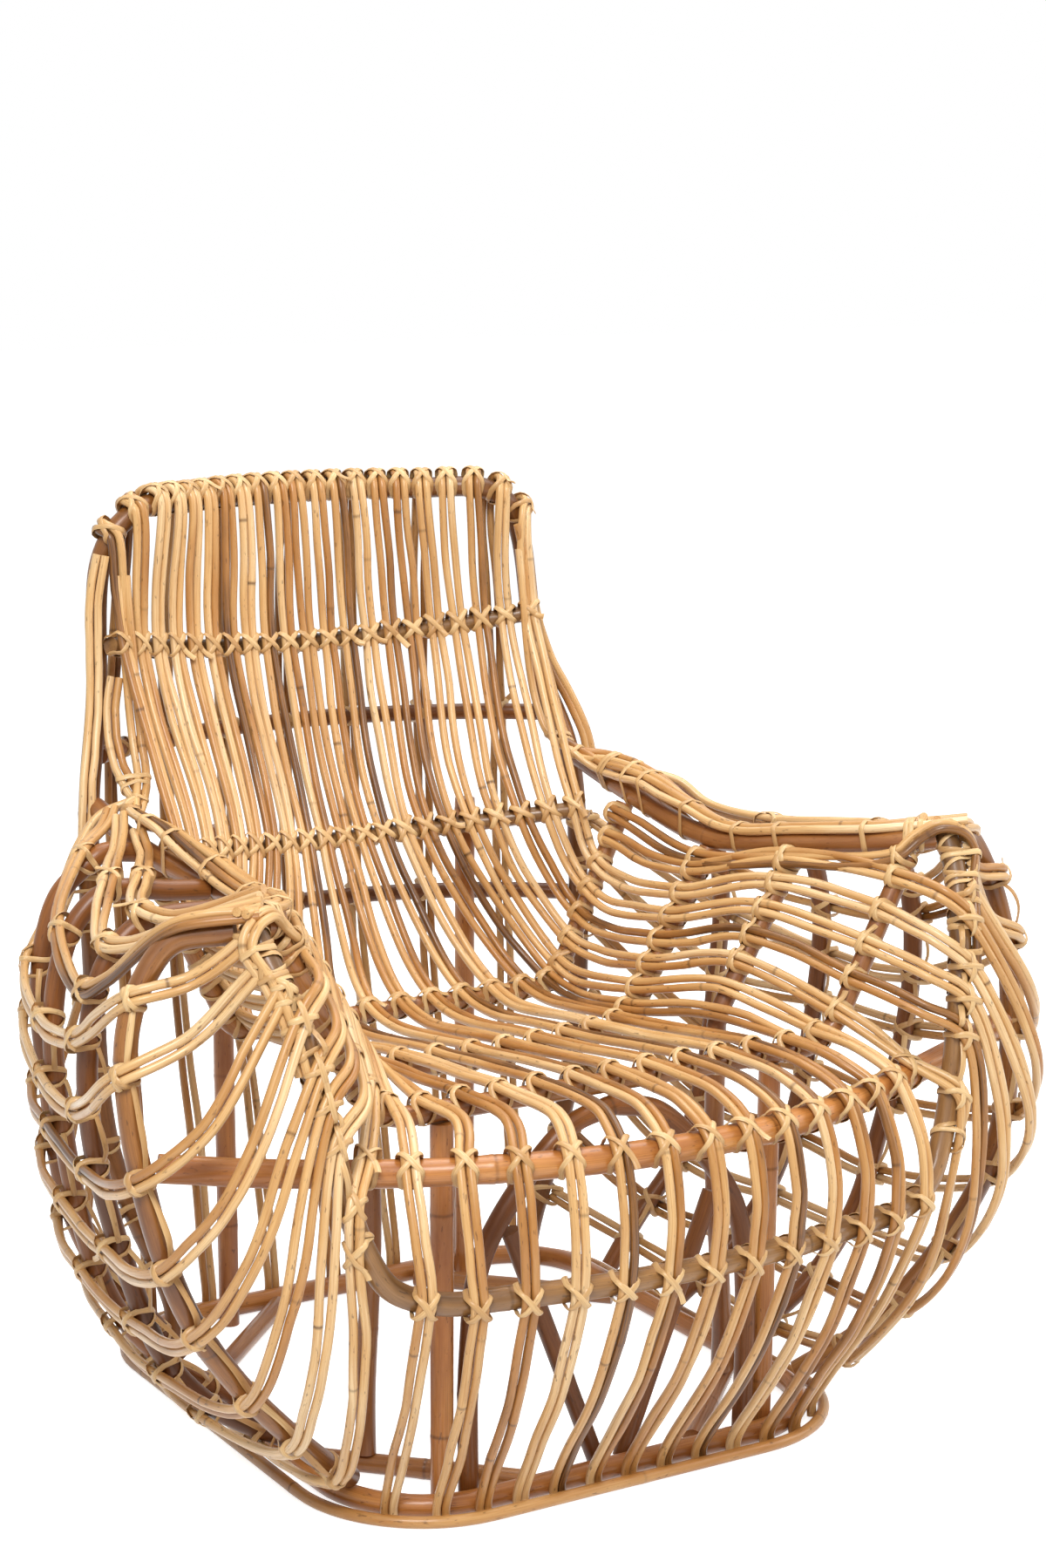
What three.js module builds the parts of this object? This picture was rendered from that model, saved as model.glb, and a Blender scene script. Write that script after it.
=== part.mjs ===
// A rattan lounge armchair. Bent poles make the frame, and strands, each a pair of thin rods,
// run over it from the rear of the base across the back and the seat to the front, and round the arms.
// Millimetres, +Z up. The front faces -Y, and +X is on the right of someone who looks at the front.
import * as THREE from 'three';

// Round sections
const POLE_D = 22;
const RIB_D = 20;
const BAR_D = 18;
const ROD_D = 8.4;
const EDGE_ROD_D = 12;
const FRONT_RAIL_D = 26;
const POLE_SIDES = 8;
const BAR_STEPS = 6;
const TIE_GAP = 0.9;
const BUTT_GAP = 0.7;
const NAIL_GAP = 0.4;

// Base ring and its edge rod
const BASE_HALF_WIDTH = 268;
const BASE_FRONT_Y = -241;
const BASE_REAR_Y = 335;
const BASE_FRONT_RADIUS = 110;
const BASE_REAR_RADIUS = 90;
const BASE_BEVEL = 5;
const EDGE_BEVEL = 3;
const EDGE_GAP = 0.6;
const CORNER_STEPS = 8;

// Floor braces, posts and the front leg arch
const FRONT_BRACE_REACH = 320;
const REAR_BRACE_REACH = 404;
const FRONT_POST_INSET = 83;
const FRONT_POST_X = BASE_HALF_WIDTH - FRONT_POST_INSET;
const REAR_POST_INSET = 118;
const REAR_POST_X = BASE_HALF_WIDTH - REAR_POST_INSET;
const REAR_POST_HEIGHT = 560;
const ARCH_INSET = 109;
const ARCH_HALF_WIDTH = BASE_HALF_WIDTH - ARCH_INSET;
const ARCH_SHOULDER_Z = 240;
const SLANT_BRACE_FOOT_X = 14;
const SLANT_BRACE_TOP_Z = 284;
const FLOOR_GAP = 1;

// Back
const BACK_TOP_Z = 891;
const BACK_TOP_Y = 429;
const BACK_TOP_BOW = 72;
const BACK_TOP_HALF = 205;
const UPRIGHT_X = 253;
const UPRIGHT_FLARE = 46;
const UPPER_BAR_DROP = 161;
const UPPER_BAR_Z = BACK_TOP_Z - UPPER_BAR_DROP;
const UPPER_BAR_Y = 405;
const UPPER_BAR_HALF = 256;
const UPPER_BAR_BOW = 66;
const UPPER_BAR_RISE = 24;
const LOWER_BAR_Z = 526;
const LOWER_BAR_Y = 327;
const LOWER_BAR_HALF = 250;
const LOWER_BAR_BOW = 100;
const LOWER_BAR_RISE = 27;
const REAR_UPPER_DROP = 251;
const REAR_UPPER_Z = BACK_TOP_Z - REAR_UPPER_DROP;
const REAR_UPPER_Y = 438;
const REAR_UPPER_HALF = 228;
const REAR_UPPER_BOW = 60;
const REAR_LOWER_Z = 437;
const REAR_LOWER_Y = 430;
const REAR_LOWER_HALF = 245;
const REAR_LOWER_BOW = 75;

// Seat ribs: their place, the arms' lean in degrees, and the strands' spacing along them
const REAR_RIB = { y: 198, bow: 0, z: 367, corner: 195, lean: 25, radius: 40, railZ: 572 };
const MIDDLE_RIB = { y: 15, bow: 34, z: 370, corner: 169, lean: 29.5, radius: 40, railZ: 556 };
const ARM_RIB = { y: -100, bow: 0, z: 381, corner: 190, lean: 30, radius: 40, railZ: 570 };
const FRONT_RIB = { y: -212, bow: 0, z: 392, corner: 256, lean: 26.8, radius: 60, railZ: 587 };
const REAR_TIES = { seatPitch: 37.5, onSeat: 5, armPitch: 29 };
const MIDDLE_TIES = { seatPitch: 37.3, onSeat: 4, armPitch: 27 };
const ARM_TIES = { seatPitch: 42, onSeat: 5, armPitch: 29 };
const FRONT_TIES = { seatPitch: 41, onSeat: 6, armPitch: 36 };

// Front seat rail, and the front hoop with the lower front rail
const RAIL_Y = -362;
const RAIL_Z = 371;
const RAIL_BOW = 72;
const RAIL_DROP = 3;
const RAIL_TIE_HALF = 270;
const LOWER_RAIL_Y = -374;
const LOWER_RAIL_Z = 257;
const LOWER_RAIL_BOW = 43;
const LOWER_RAIL_HALF = 280;

// Outer side poles: where they stand and how far they bulge
const SIDE_POLE_Y = [-72, 58, 188];
const SIDE_POLE_BULGE = [473, 451, 410];
const SIDE_POLE_FULLNESS = [0, 10, 16];
const SIDE_FOOT_Z = 31;
// The photograph shows two of the right arm's shoulders lower than the left arm's
const SHOULDER_DROP = { left: [0, 0, 0], right: [8, 26, 0] };

// Strands: their spacing on each rail
const HALF_COUNT = 6;
const ARM_STRANDS = 4;
const REAR_NAIL_INSET = 8;
const REAR_BASE_PITCH = (BASE_HALF_WIDTH - REAR_NAIL_INSET) / (HALF_COUNT + ARM_STRANDS);
const REAR_RAIL_PITCH = 25.5;
// Only each third strand runs on down the rear, and the others end on the top bar
const REAR_EVERY = 3;
const TOP_PITCH = 24;
const UPPER_BAR_PITCH = 25;
const LOWER_BAR_PITCH = 24.5;
const RAIL_PITCH = 44;
const LOWER_RAIL_PITCH = 45.5;
const FRONT_NAIL_INSET = 22;
const FRONT_BASE_PITCH = (BASE_HALF_WIDTH - FRONT_NAIL_INSET) / HALF_COUNT;
const STRAND_END_Z = 4;
const STRAND_FOOT_Z = 16;
const STRAND_STEP = 140;

// Heights of the arm strands on the front hoop, the corner pole, the side poles and the upright
const HOOP_TIE_Z = [356, 411, 445, 475, 517, 543];
const CORNER_TIE_Z = [62, 110, 164, 237, 298, 377];
const SIDE_TIE_Z = [
  [50, 88, 136, 192, 267, 345],
  [52, 92, 139, 199, 272, 348],
  [62, 101, 147, 209, 281, 351],
];
const SIDE_TIE_TURN = [0.1, 0.24, 0.46];
const UPRIGHT_TIE_Z = [94, 162, 238, 318, 398, 478];
const BELLY = [50, 56, 60, 62, 58, 48];
const TOP_TURN = [0, 40, 80, 120, 160];
const HOOP_LEAVE_Z = 316;
const HOOP_SLANT = [12, 0, -8];
const FRONT_ARCH = { back: 32, up: 36 };
const FRONT_SWELL = 10;
const FRONT_BELLY = 11;
const RAIL_CROSS_X = 300;

const TONES = {
  straw: { color: 0xd9b077, roughness: 0.45 },
  honey: { color: 0xc98f4d, roughness: 0.42 },
  tan: { color: 0xb87f45, roughness: 0.45 },
  olive: { color: 0x9a7f55, roughness: 0.5 },
  russet: { color: 0x7d4326, roughness: 0.42 },
};

const vec = (x, y, z) => new THREE.Vector3(x, y, z);
const mirror = (v) => vec(-v.x, v.y, v.z);
const chair = new THREE.Group();

function addPiece(name, geometry, tone) {
  const material = new THREE.MeshStandardMaterial({ ...TONES[tone], metalness: 0 });
  const mesh = new THREE.Mesh(geometry, material);
  mesh.name = name;
  chair.add(mesh);
}

// A path through given points that also says which way the section's upper side faces.
class Route extends THREE.Curve {
  constructor(points, outward) {
    super();
    this.points = points;
    this.outward = outward;
  }

  getPointAt(u) {
    return this.points[Math.round(u * (this.points.length - 1))].clone();
  }

  tangentAt(i) {
    const before = this.points[Math.max(i - 1, 0)];
    const here = this.points[i];
    const after = this.points[Math.min(i + 1, this.points.length - 1)];
    const arrive = here.clone().sub(before).normalize();
    const leave = after.clone().sub(here).normalize();
    return arrive.add(leave).normalize();
  }

  computeFrenetFrames() {
    const tangents = this.points.map((p, i) => this.tangentAt(i));
    const normals = tangents.map((t, i) => this.outward[i].clone().cross(t).normalize());
    const binormals = tangents.map((t, i) => t.clone().cross(normals[i]));
    return { tangents, normals, binormals };
  }
}

function sweep(section, points, outward) {
  const extrudePath = new Route(points, outward);
  return new THREE.ExtrudeGeometry(section, { steps: points.length - 1, extrudePath });
}

function roundSection(diameter) {
  const corners = [];
  for (let i = 0; i < POLE_SIDES; i += 1) {
    const angle = (i / POLE_SIDES) * 2 * Math.PI;
    corners.push(new THREE.Vector2(Math.cos(angle), Math.sin(angle)).multiplyScalar(diameter / 2));
  }
  return new THREE.Shape(corners);
}

// Two rods side by side, drawn as one flat six-sided bar.
function pairSection() {
  const w = ROD_D;
  const t = ROD_D / 2;
  const corners = [[w, 0], [w / 2, t], [-w / 2, t], [-w, 0], [-w / 2, -t], [w / 2, -t]];
  return new THREE.Shape(corners.map(([x, y]) => new THREE.Vector2(x, y)));
}

// Turns the section's upper side smoothly along a path, without twisting it.
function carried(points, first) {
  const route = new Route(points, []);
  const outward = [];
  let side = first.clone();
  points.forEach((p, i) => {
    const t = route.tangentAt(i);
    side = side.clone().addScaledVector(t, -side.dot(t)).normalize();
    outward.push(side);
  });
  return outward;
}

function addPole(name, points, diameter, tone, first = vec(0, 0, 1)) {
  const along = points[1].clone().sub(points[0]).normalize();
  const side = Math.abs(along.dot(first)) > 0.9 ? vec(0, 1, 0) : first;
  addPiece(name, sweep(roundSection(diameter), points, carried(points, side)), tone);
}

// Samples a smooth curve through the points, with each point kept and at most step between samples.
function smooth(points, step) {
  const curve = new THREE.CatmullRomCurve3(points, false, 'centripetal');
  const out = [];
  for (let i = 0; i + 1 < points.length; i += 1) {
    const parts = Math.max(1, Math.ceil(points[i].distanceTo(points[i + 1]) / step));
    for (let j = 0; j < parts; j += 1) {
      out.push(curve.getPoint((i + j / parts) / (points.length - 1)));
    }
  }
  out.push(points[points.length - 1].clone());
  return out;
}

// The right half of a symmetric pole, from the middle outwards, made whole.
const bothSides = (half) => [...half.slice(1).reverse().map(mirror), ...half];

// A bar that bows and rises towards its ends; x runs across the chair.
const bowed = (y, z, half, bow, rise) => (x) => {
  const share = (x / half) ** 2;
  return vec(x, y + bow * share, z + rise * share);
};

function barPoints(bar, half) {
  const points = [];
  for (let i = -BAR_STEPS; i <= BAR_STEPS; i += 1) points.push(bar((half * i) / BAR_STEPS));
  return points;
}

// First point of a polyline where a coordinate reaches a value.
function pick(points, axis, value) {
  for (let i = 0; i + 1 < points.length; i += 1) {
    const a = points[i][axis];
    const b = points[i + 1][axis];
    if ((a - value) * (b - value) <= 0 && a !== b) {
      const point = points[i].clone().lerp(points[i + 1], (value - a) / (b - a));
      const along = points[i + 1].clone().sub(points[i]).normalize();
      return { point, along };
    }
  }
  const last = points.length - 1;
  return { point: points[last].clone(), along: points[last].clone().sub(points[last - 1]).normalize() };
}

// Outline of a rectangle with rounded corners, grown outwards from the base ring's centre line.
// An inner edge goes round the circle, so that its flats stay clear of what lies inside.
function baseOutline(grow, inner) {
  const corners = [
    [BASE_HALF_WIDTH, BASE_REAR_Y, BASE_REAR_RADIUS, 0],
    [-BASE_HALF_WIDTH, BASE_REAR_Y, BASE_REAR_RADIUS, 1],
    [-BASE_HALF_WIDTH, BASE_FRONT_Y, BASE_FRONT_RADIUS, 2],
    [BASE_HALF_WIDTH, BASE_FRONT_Y, BASE_FRONT_RADIUS, 3],
  ];
  const points = [];
  corners.forEach(([x, y, radius, quarter]) => {
    const cx = x - Math.sign(x) * radius;
    const cy = y - Math.sign(y) * radius;
    for (let i = 0; i <= CORNER_STEPS; i += 1) {
      const angle = ((quarter + i / CORNER_STEPS) * Math.PI) / 2;
      const reach = (radius + grow) / (inner ? Math.cos(Math.PI / 4 / CORNER_STEPS) : 1);
      points.push(new THREE.Vector2(cx + reach * Math.cos(angle), cy + reach * Math.sin(angle)));
    }
  });
  return points;
}

function floorRing(inner, outer, height, bevel) {
  const shape = new THREE.Shape(baseOutline(outer - bevel, false));
  shape.holes.push(new THREE.Path(baseOutline(inner + bevel, true)));
  const options = { depth: height - 2 * bevel, bevelSize: bevel, bevelThickness: bevel, bevelSegments: 1 };
  return new THREE.ExtrudeGeometry(shape, options).translate(0, 0, bevel);
}

// A point at x that lies a given distance outside the base ring's centre line, at its front (-1)
// or its rear (+1), and the way that the ring faces there.
function beside(x, end, distance) {
  const radius = end < 0 ? BASE_FRONT_RADIUS : BASE_REAR_RADIUS;
  const edge = end < 0 ? BASE_FRONT_Y : BASE_REAR_Y;
  const cx = BASE_HALF_WIDTH - radius;
  const reach = radius + distance;
  const over = Math.max(Math.abs(x) - cx, 0);
  const drop = Math.sqrt(reach * reach - over * over);
  const face = vec((Math.sign(x) * over) / reach, (end * drop) / reach, 0);
  return { point: vec(x, edge - end * radius + end * drop, 0), face };
}

const nailOutside = (x, end) => beside(x, end, POLE_D / 2 + NAIL_GAP + ROD_D / 2);
const standInside = (x, end, diameter) => beside(x, end, -POLE_D / 2 - NAIL_GAP - diameter / 2).point;

// The end of a pole that runs towards another pole and stops just short of its surface.
function butt(from, target, along, diameter) {
  const way = target.clone().sub(from).normalize();
  const slant = Math.abs(way.dot(along));
  const square = Math.sqrt(1 - slant * slant);
  const short = (POLE_D / 2 + BUTT_GAP + (diameter / 2) * slant) / square;
  return target.clone().addScaledVector(way, -short);
}

// A U-shaped rib across the seat and up both arms. s runs along it from the middle outwards.
function uRib({ y, bow, z, corner, lean, radius, railZ }) {
  const turn = Math.PI / 2 - THREE.MathUtils.degToRad(lean);
  const flat = corner - radius * Math.tan(turn / 2);
  const bend = radius * turn;
  const rise = vec(Math.cos(turn), 0, Math.sin(turn));
  const depth = (x) => y - bow * Math.max(0, 1 - (x / corner) ** 2);
  const at = (s) => {
    const angle = THREE.MathUtils.clamp((s - flat) / radius, 0, turn);
    const x = Math.min(s, flat) + radius * Math.sin(angle);
    const height = z + radius * (1 - Math.cos(angle));
    const point = vec(x, 0, height).addScaledVector(rise, Math.max(0, s - flat - bend));
    point.y = depth(point.x);
    return { point, normal: vec(-Math.sin(angle), 0, Math.cos(angle)) };
  };
  const armStart = at(flat + bend).point;
  const railS = flat + bend + (railZ - armStart.z) / rise.z;
  const stations = [0, flat * 0.5, flat];
  for (let i = 1; i <= 4; i += 1) stations.push(flat + (bend * i) / 4);
  return { at, rail: at(railS).point, armStart, half: stations.map((s) => at(s).point) };
}

const tieS = ({ seatPitch, onSeat, armPitch }, k) => (
  seatPitch * Math.min(k, onSeat) + armPitch * Math.max(0, k - onSeat)
);

// Base
const ringHalf = POLE_D / 2;
const edgeInner = ringHalf + NAIL_GAP + ROD_D + EDGE_GAP;
addPiece('base_ring', floorRing(-ringHalf, ringHalf, POLE_D, BASE_BEVEL), 'honey');
addPiece('base_edge_rod', floorRing(edgeInner, edgeInner + EDGE_ROD_D, EDGE_ROD_D, EDGE_BEVEL), 'honey');

const insideFront = BASE_FRONT_Y + POLE_D / 2 + NAIL_GAP;
const insideRear = BASE_REAR_Y - POLE_D / 2 - NAIL_GAP;
const insideSide = BASE_HALF_WIDTH - POLE_D / 2 - NAIL_GAP;
const braceSetback = (RIB_D / 2) * Math.SQRT1_2;

function addFloorBraces(side, label) {
  const z = RIB_D / 2;
  const sideX = insideSide - braceSetback;
  const frontY = insideFront + braceSetback;
  const rearY = insideRear - braceSetback;
  const front = [vec(sideX, sideX - FRONT_BRACE_REACH, z), vec(FRONT_BRACE_REACH + frontY, frontY, z)];
  const rear = [vec(sideX, REAR_BRACE_REACH - sideX, z), vec(REAR_BRACE_REACH - rearY, rearY, z)];
  const place = (points) => (side > 0 ? points : points.map(mirror));
  addPole(`floor_brace_front_${label}`, place(front), RIB_D, 'tan');
  addPole(`floor_brace_rear_${label}`, place(rear), RIB_D, 'tan');
}

// Seat ribs
const rearRib = uRib(REAR_RIB);
const middleRib = uRib(MIDDLE_RIB);
const armRib = uRib(ARM_RIB);
const frontRib = uRib(FRONT_RIB);

// Front leg arch with the front posts and the slanted braces, all inside the base ring
const archY = standInside(ARCH_HALF_WIDTH, -1, RIB_D).y;
const archTop = FRONT_RIB.z - RIB_D - BUTT_GAP;
const archHalf = smooth([
  vec(0, archY, archTop),
  vec(ARCH_HALF_WIDTH * 0.31, archY, archTop - 13),
  vec(ARCH_HALF_WIDTH * 0.66, archY, (archTop + ARCH_SHOULDER_Z) / 2),
  vec(ARCH_HALF_WIDTH * 0.92, archY, ARCH_SHOULDER_Z),
  vec(ARCH_HALF_WIDTH, archY, ARCH_SHOULDER_Z * 0.6),
  vec(ARCH_HALF_WIDTH, archY, FLOOR_GAP),
], 150);
addPole('front_leg_arch', bothSides(archHalf), RIB_D, 'russet', vec(0, 1, 0));

function addFrontSupports(side, label) {
  const postTop = FRONT_RIB.z - RIB_D / 2 - BUTT_GAP;
  const { y } = standInside(FRONT_POST_X, -1, POLE_D);
  const post = [vec(side * FRONT_POST_X, y, FLOOR_GAP), vec(side * FRONT_POST_X, y, postTop)];
  addPole(`front_post_${label}`, post, POLE_D, 'honey');
  const foot = vec(SLANT_BRACE_FOOT_X, standInside(0, -1, BAR_D).y, BAR_D / 2);
  const joint = pick(archHalf, 'z', SLANT_BRACE_TOP_Z);
  const brace = [foot, butt(foot, joint.point, joint.along, BAR_D)];
  addPole(`front_brace_${label}`, side > 0 ? brace : brace.map(mirror), BAR_D, 'russet');
}

// Back hoop: the top bar and both uprights, nailed inside the base ring's rear corners
const topBar = bowed(BACK_TOP_Y, BACK_TOP_Z, BACK_TOP_HALF, -BACK_TOP_BOW * 0.91, -2);
const footReach = (BASE_REAR_RADIUS - POLE_D - BUTT_GAP) * Math.SQRT1_2;
const footX = BASE_HALF_WIDTH - BASE_REAR_RADIUS + footReach;
const footY = BASE_REAR_Y - BASE_REAR_RADIUS + footReach;
const flareX = UPRIGHT_X + UPRIGHT_FLARE;
const backHalf = smooth([
  topBar(0),
  topBar(BACK_TOP_HALF * 0.34),
  topBar(BACK_TOP_HALF * 0.68),
  topBar(BACK_TOP_HALF),
  vec(UPRIGHT_X - 17, 361, BACK_TOP_Z - 22),
  vec(UPRIGHT_X, 366, BACK_TOP_Z - 58),
  vec(UPRIGHT_X + 15, 352, 694),
  vec(flareX - 7, 323, 598),
  vec(flareX, 312, 450),
  vec(flareX - 10, 306, 230),
  vec(footX, footY, POLE_D + 18),
  vec(footX, footY, FLOOR_GAP),
], 90);
addPole('back_hoop', bothSides(backHalf), POLE_D, 'tan', vec(0, 1, 0));

const upperBow = bowed(UPPER_BAR_Y, UPPER_BAR_Z, UPPER_BAR_HALF, -UPPER_BAR_BOW, UPPER_BAR_RISE);
const lowerBow = bowed(LOWER_BAR_Y, LOWER_BAR_Z, LOWER_BAR_HALF, -LOWER_BAR_BOW, LOWER_BAR_RISE);
const rearUpperBow = bowed(REAR_UPPER_Y, REAR_UPPER_Z, REAR_UPPER_HALF, -REAR_UPPER_BOW, 0);
const rearLowerBow = bowed(REAR_LOWER_Y, REAR_LOWER_Z, REAR_LOWER_HALF, -REAR_LOWER_BOW, 0);
const upperBar = barPoints(upperBow, UPPER_BAR_HALF);
const lowerBar = barPoints(lowerBow, LOWER_BAR_HALF);

// A rear rail runs on past its bow until it meets both uprights.
function rearRail(bow, half, z) {
  const points = barPoints(bow, half);
  const upright = pick(backHalf, 'z', z);
  const end = butt(points[points.length - 1], upright.point, upright.along, POLE_D);
  return [mirror(end), ...points, end];
}

const rearUpper = rearRail(rearUpperBow, REAR_UPPER_HALF, REAR_UPPER_Z);
const rearLower = rearRail(rearLowerBow, REAR_LOWER_HALF, REAR_LOWER_Z);
addPole('upper_back_bar', upperBar, BAR_D, 'olive');
addPole('lower_back_bar', lowerBar, BAR_D, 'olive');
addPole('rear_upper_rail', rearUpper, BAR_D, 'russet');
addPole('rear_lower_rail', rearLower, BAR_D, 'russet');

function addRearPost(side, label) {
  const { y } = standInside(REAR_POST_X, 1, POLE_D);
  const post = [vec(side * REAR_POST_X, y, FLOOR_GAP), vec(side * REAR_POST_X, y, REAR_POST_HEIGHT)];
  addPole(`rear_post_${label}`, post, POLE_D, 'honey');
}

// Front hoop: the lower front rail and the fronts of both arms
const lowerRail = bowed(LOWER_RAIL_Y, LOWER_RAIL_Z, LOWER_RAIL_HALF, LOWER_RAIL_BOW, 2);
const hoopTop = vec(382, -226, FRONT_RIB.railZ + 8);
const hoopHalf = smooth([
  lowerRail(0),
  lowerRail(LOWER_RAIL_HALF * 0.33),
  lowerRail(LOWER_RAIL_HALF * 0.66),
  lowerRail(LOWER_RAIL_HALF * 0.92),
  vec(299, -324, 275),
  vec(320, -315, 310),
  vec(335, -307, 360),
  vec(345, -300, 410),
  vec(356, -288, 475),
  vec(364, -274, 520),
  vec(376, -250, 562),
  hoopTop,
], 90);
addPole('front_hoop', bothSides(hoopHalf), POLE_D, 'olive', vec(0, 1, 0));

// Corner poles at the outer front of the arms
const hoopRise = hoopTop.clone().sub(hoopHalf[hoopHalf.length - 2]).normalize();
const hoopJoint = hoopTop.clone().addScaledVector(hoopRise, -POLE_D / 4);
const cornerNear = vec(440, -191, 578);
const cornerPole = smooth([
  butt(cornerNear, hoopJoint, hoopRise, POLE_D),
  cornerNear,
  vec(467, -186, 545),
  vec(485, -190, 500),
  vec(491, -204, 438),
  vec(488, -214, 388),
  vec(476, -228, 316),
  vec(453, -236, 248),
  vec(408, -234, 178),
  vec(358, -226, 120),
  vec(312, -208, 74),
  vec(BASE_HALF_WIDTH - 6, -172, SIDE_FOOT_Z),
], 90);

// Front seat rail, from corner pole to corner pole
const seatRail = bowed(RAIL_Y, RAIL_Z, RAIL_TIE_HALF, RAIL_BOW, -RAIL_DROP);
const railNear = vec(380, -251, 375);
const railJoint = pick(cornerPole, 'z', 388);
const railEnd = butt(railNear, railJoint.point, railJoint.along, 1.25 * FRONT_RAIL_D);
const railHalf = smooth([
  seatRail(0),
  seatRail(RAIL_TIE_HALF * 0.25),
  seatRail(RAIL_TIE_HALF * 0.5),
  seatRail(RAIL_TIE_HALF * 0.75),
  seatRail(RAIL_TIE_HALF),
  railNear,
  railEnd,
], 90);
addPole('front_rail', bothSides(railHalf), FRONT_RAIL_D, 'honey');

// Arm rails, laid over the ends of the ribs from the upright to the front hoop
const uprightJoint = pick(backHalf, 'z', 598);
const armRail = smooth([
  butt(rearRib.rail, uprightJoint.point, uprightJoint.along, POLE_D),
  rearRib.rail,
  middleRib.rail,
  armRib.rail,
  frontRib.rail,
  butt(frontRib.rail, hoopJoint, hoopRise, POLE_D),
], 90);

// Each rib stops just under the arm rail.
function ribEnd(rib) {
  const { along } = pick(armRail, 'y', rib.rail.y);
  return butt(rib.armStart, rib.rail, along, RIB_D);
}

const ribPoints = (rib) => bothSides([...rib.half, ribEnd(rib)]);
addPole('seat_rear_rib', ribPoints(rearRib), RIB_D, 'tan');
addPole('seat_middle_rib', ribPoints(middleRib), RIB_D, 'tan');
addPole('seat_front_rib', ribPoints(frontRib), RIB_D, 'tan');

function sidePole(index, drop) {
  const y = SIDE_POLE_Y[index];
  const b = SIDE_POLE_BULGE[index];
  const low = b + SIDE_POLE_FULLNESS[index];
  const rail = pick(armRail, 'y', y);
  const near = vec(rail.point.x + 48, y, rail.point.z + 4 - 0.5 * drop);
  return smooth([
    butt(near, rail.point, rail.along, RIB_D),
    near,
    vec(b - 59, y, 567 - drop),
    vec(b - 25, y, 539 - 0.6 * drop),
    vec(b - 8, y, 497 - 0.25 * drop),
    vec(b, y, 433),
    vec(b - 5, y, 357),
    vec(low - 36, y, 231),
    vec(low - 68, y, 147),
    vec(low - 122, y, 82),
    vec(BASE_HALF_WIDTH, y, SIDE_FOOT_Z),
  ], 110);
}

const sidePoles = SIDE_POLE_Y.map((y, index) => sidePole(index, 0));
const SIDE_LABELS = ['front', 'middle', 'rear'];

// Each arm rib runs down into a leg that stands on the front floor brace.
function armRibPoints() {
  const legX = FRONT_BRACE_REACH / 2 + 50;
  const footZ = RIB_D + BUTT_GAP;
  const foot = vec(legX, legX - FRONT_BRACE_REACH, footZ);
  const knee = armRib.armStart;
  const leg = smooth([
    foot,
    vec(legX, foot.y, footZ + 60),
    vec(knee.x - 2, knee.y - 5, knee.z * 0.62),
    knee,
  ], 90);
  return [...leg, ribEnd(armRib)];
}

function addArm(side, label) {
  const place = (points) => (side > 0 ? points : points.map(mirror));
  addPole(`arm_rail_${label}`, place(armRail), POLE_D, 'tan');
  addPole(`corner_pole_${label}`, place(cornerPole), POLE_D, 'olive', vec(0, 1, 0));
  addPole(`arm_rib_${label}`, place(armRibPoints()), RIB_D, 'tan', vec(0, 1, 0));
  SHOULDER_DROP[label].forEach((drop, i) => {
    addPole(`side_pole_${SIDE_LABELS[i]}_${label}`, place(sidePole(i, drop)), RIB_D, 'russet', vec(0, 1, 0));
  });
}

// Strands. A station is a point of a strand's centre line and the way the strand faces there.
function station(point, normal, diameter, gap = TIE_GAP) {
  const face = normal.clone().normalize();
  const reach = diameter / 2 + gap + ROD_D / 2;
  return { point: point.clone().addScaledVector(face, reach), face };
}

// A way that stands square on a pole that runs along a given line.
const squareTo = (along, way) => way.clone().addScaledVector(along, -way.dot(along)).normalize();

// Stations of a strand that turns round a pole; they lie further out, so that its flats stay clear.
function turned(point, faces, diameter) {
  const widest = Math.max(...faces.slice(1).map((f, i) => f.angleTo(faces[i])));
  const reach = (diameter / 2 + TIE_GAP + ROD_D / 2) / Math.cos(widest / 2);
  return faces.map((face) => ({ point: point.clone().addScaledVector(face, reach), face }));
}

// A strand's place on a pole that runs across the chair, square to the pole.
function onPole(points, x, way, diameter) {
  const { point, along } = pick(points, 'x', x);
  return station(point, squareTo(along, way), diameter);
}

function rearStations(k) {
  if (k % REAR_EVERY !== 0) return [];
  const nail = nailOutside(k * REAR_BASE_PITCH, 1);
  const back = vec(0, 1, 0);
  return [
    { point: nail.point.clone().setZ(STRAND_END_Z), face: nail.face },
    { point: nail.point.clone().setZ(POLE_D + 6), face: nail.face },
    onPole(rearLower, k * REAR_RAIL_PITCH, back, BAR_D),
    onPole(rearUpper, k * REAR_RAIL_PITCH, back, BAR_D),
  ];
}

// The strand's turn over the top bar, from its rear to its front.
function topStations(k) {
  const { point, along } = pick(backHalf, 'x', k * TOP_PITCH);
  const rear = vec(0, 1, 0).addScaledVector(along, -along.y).normalize();
  const up = rear.clone().cross(along).multiplyScalar(-1);
  const over = up.z < 0 ? up.negate() : up;
  const faces = TOP_TURN.map((degrees) => {
    const angle = THREE.MathUtils.degToRad(degrees);
    return rear.clone().multiplyScalar(Math.cos(angle)).addScaledVector(over, Math.sin(angle));
  });
  return turned(point, faces, POLE_D);
}

function ribStation(rib, ties, k, tilt, gap = TIE_GAP) {
  const { point, normal } = rib.at(tieS(ties, k));
  return station(point, normal.clone().add(vec(0, tilt, 0)), RIB_D, gap);
}

// The strand's turn over the front rib, where it leaves the seat or the arm's inner side.
function frontRibStations(k, tilts) {
  const { point, normal } = frontRib.at(tieS(FRONT_TIES, k));
  const faces = tilts.map((tilt) => normal.clone().add(vec(0, tilt, 0)).normalize());
  return turned(point, faces, RIB_D);
}

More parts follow.
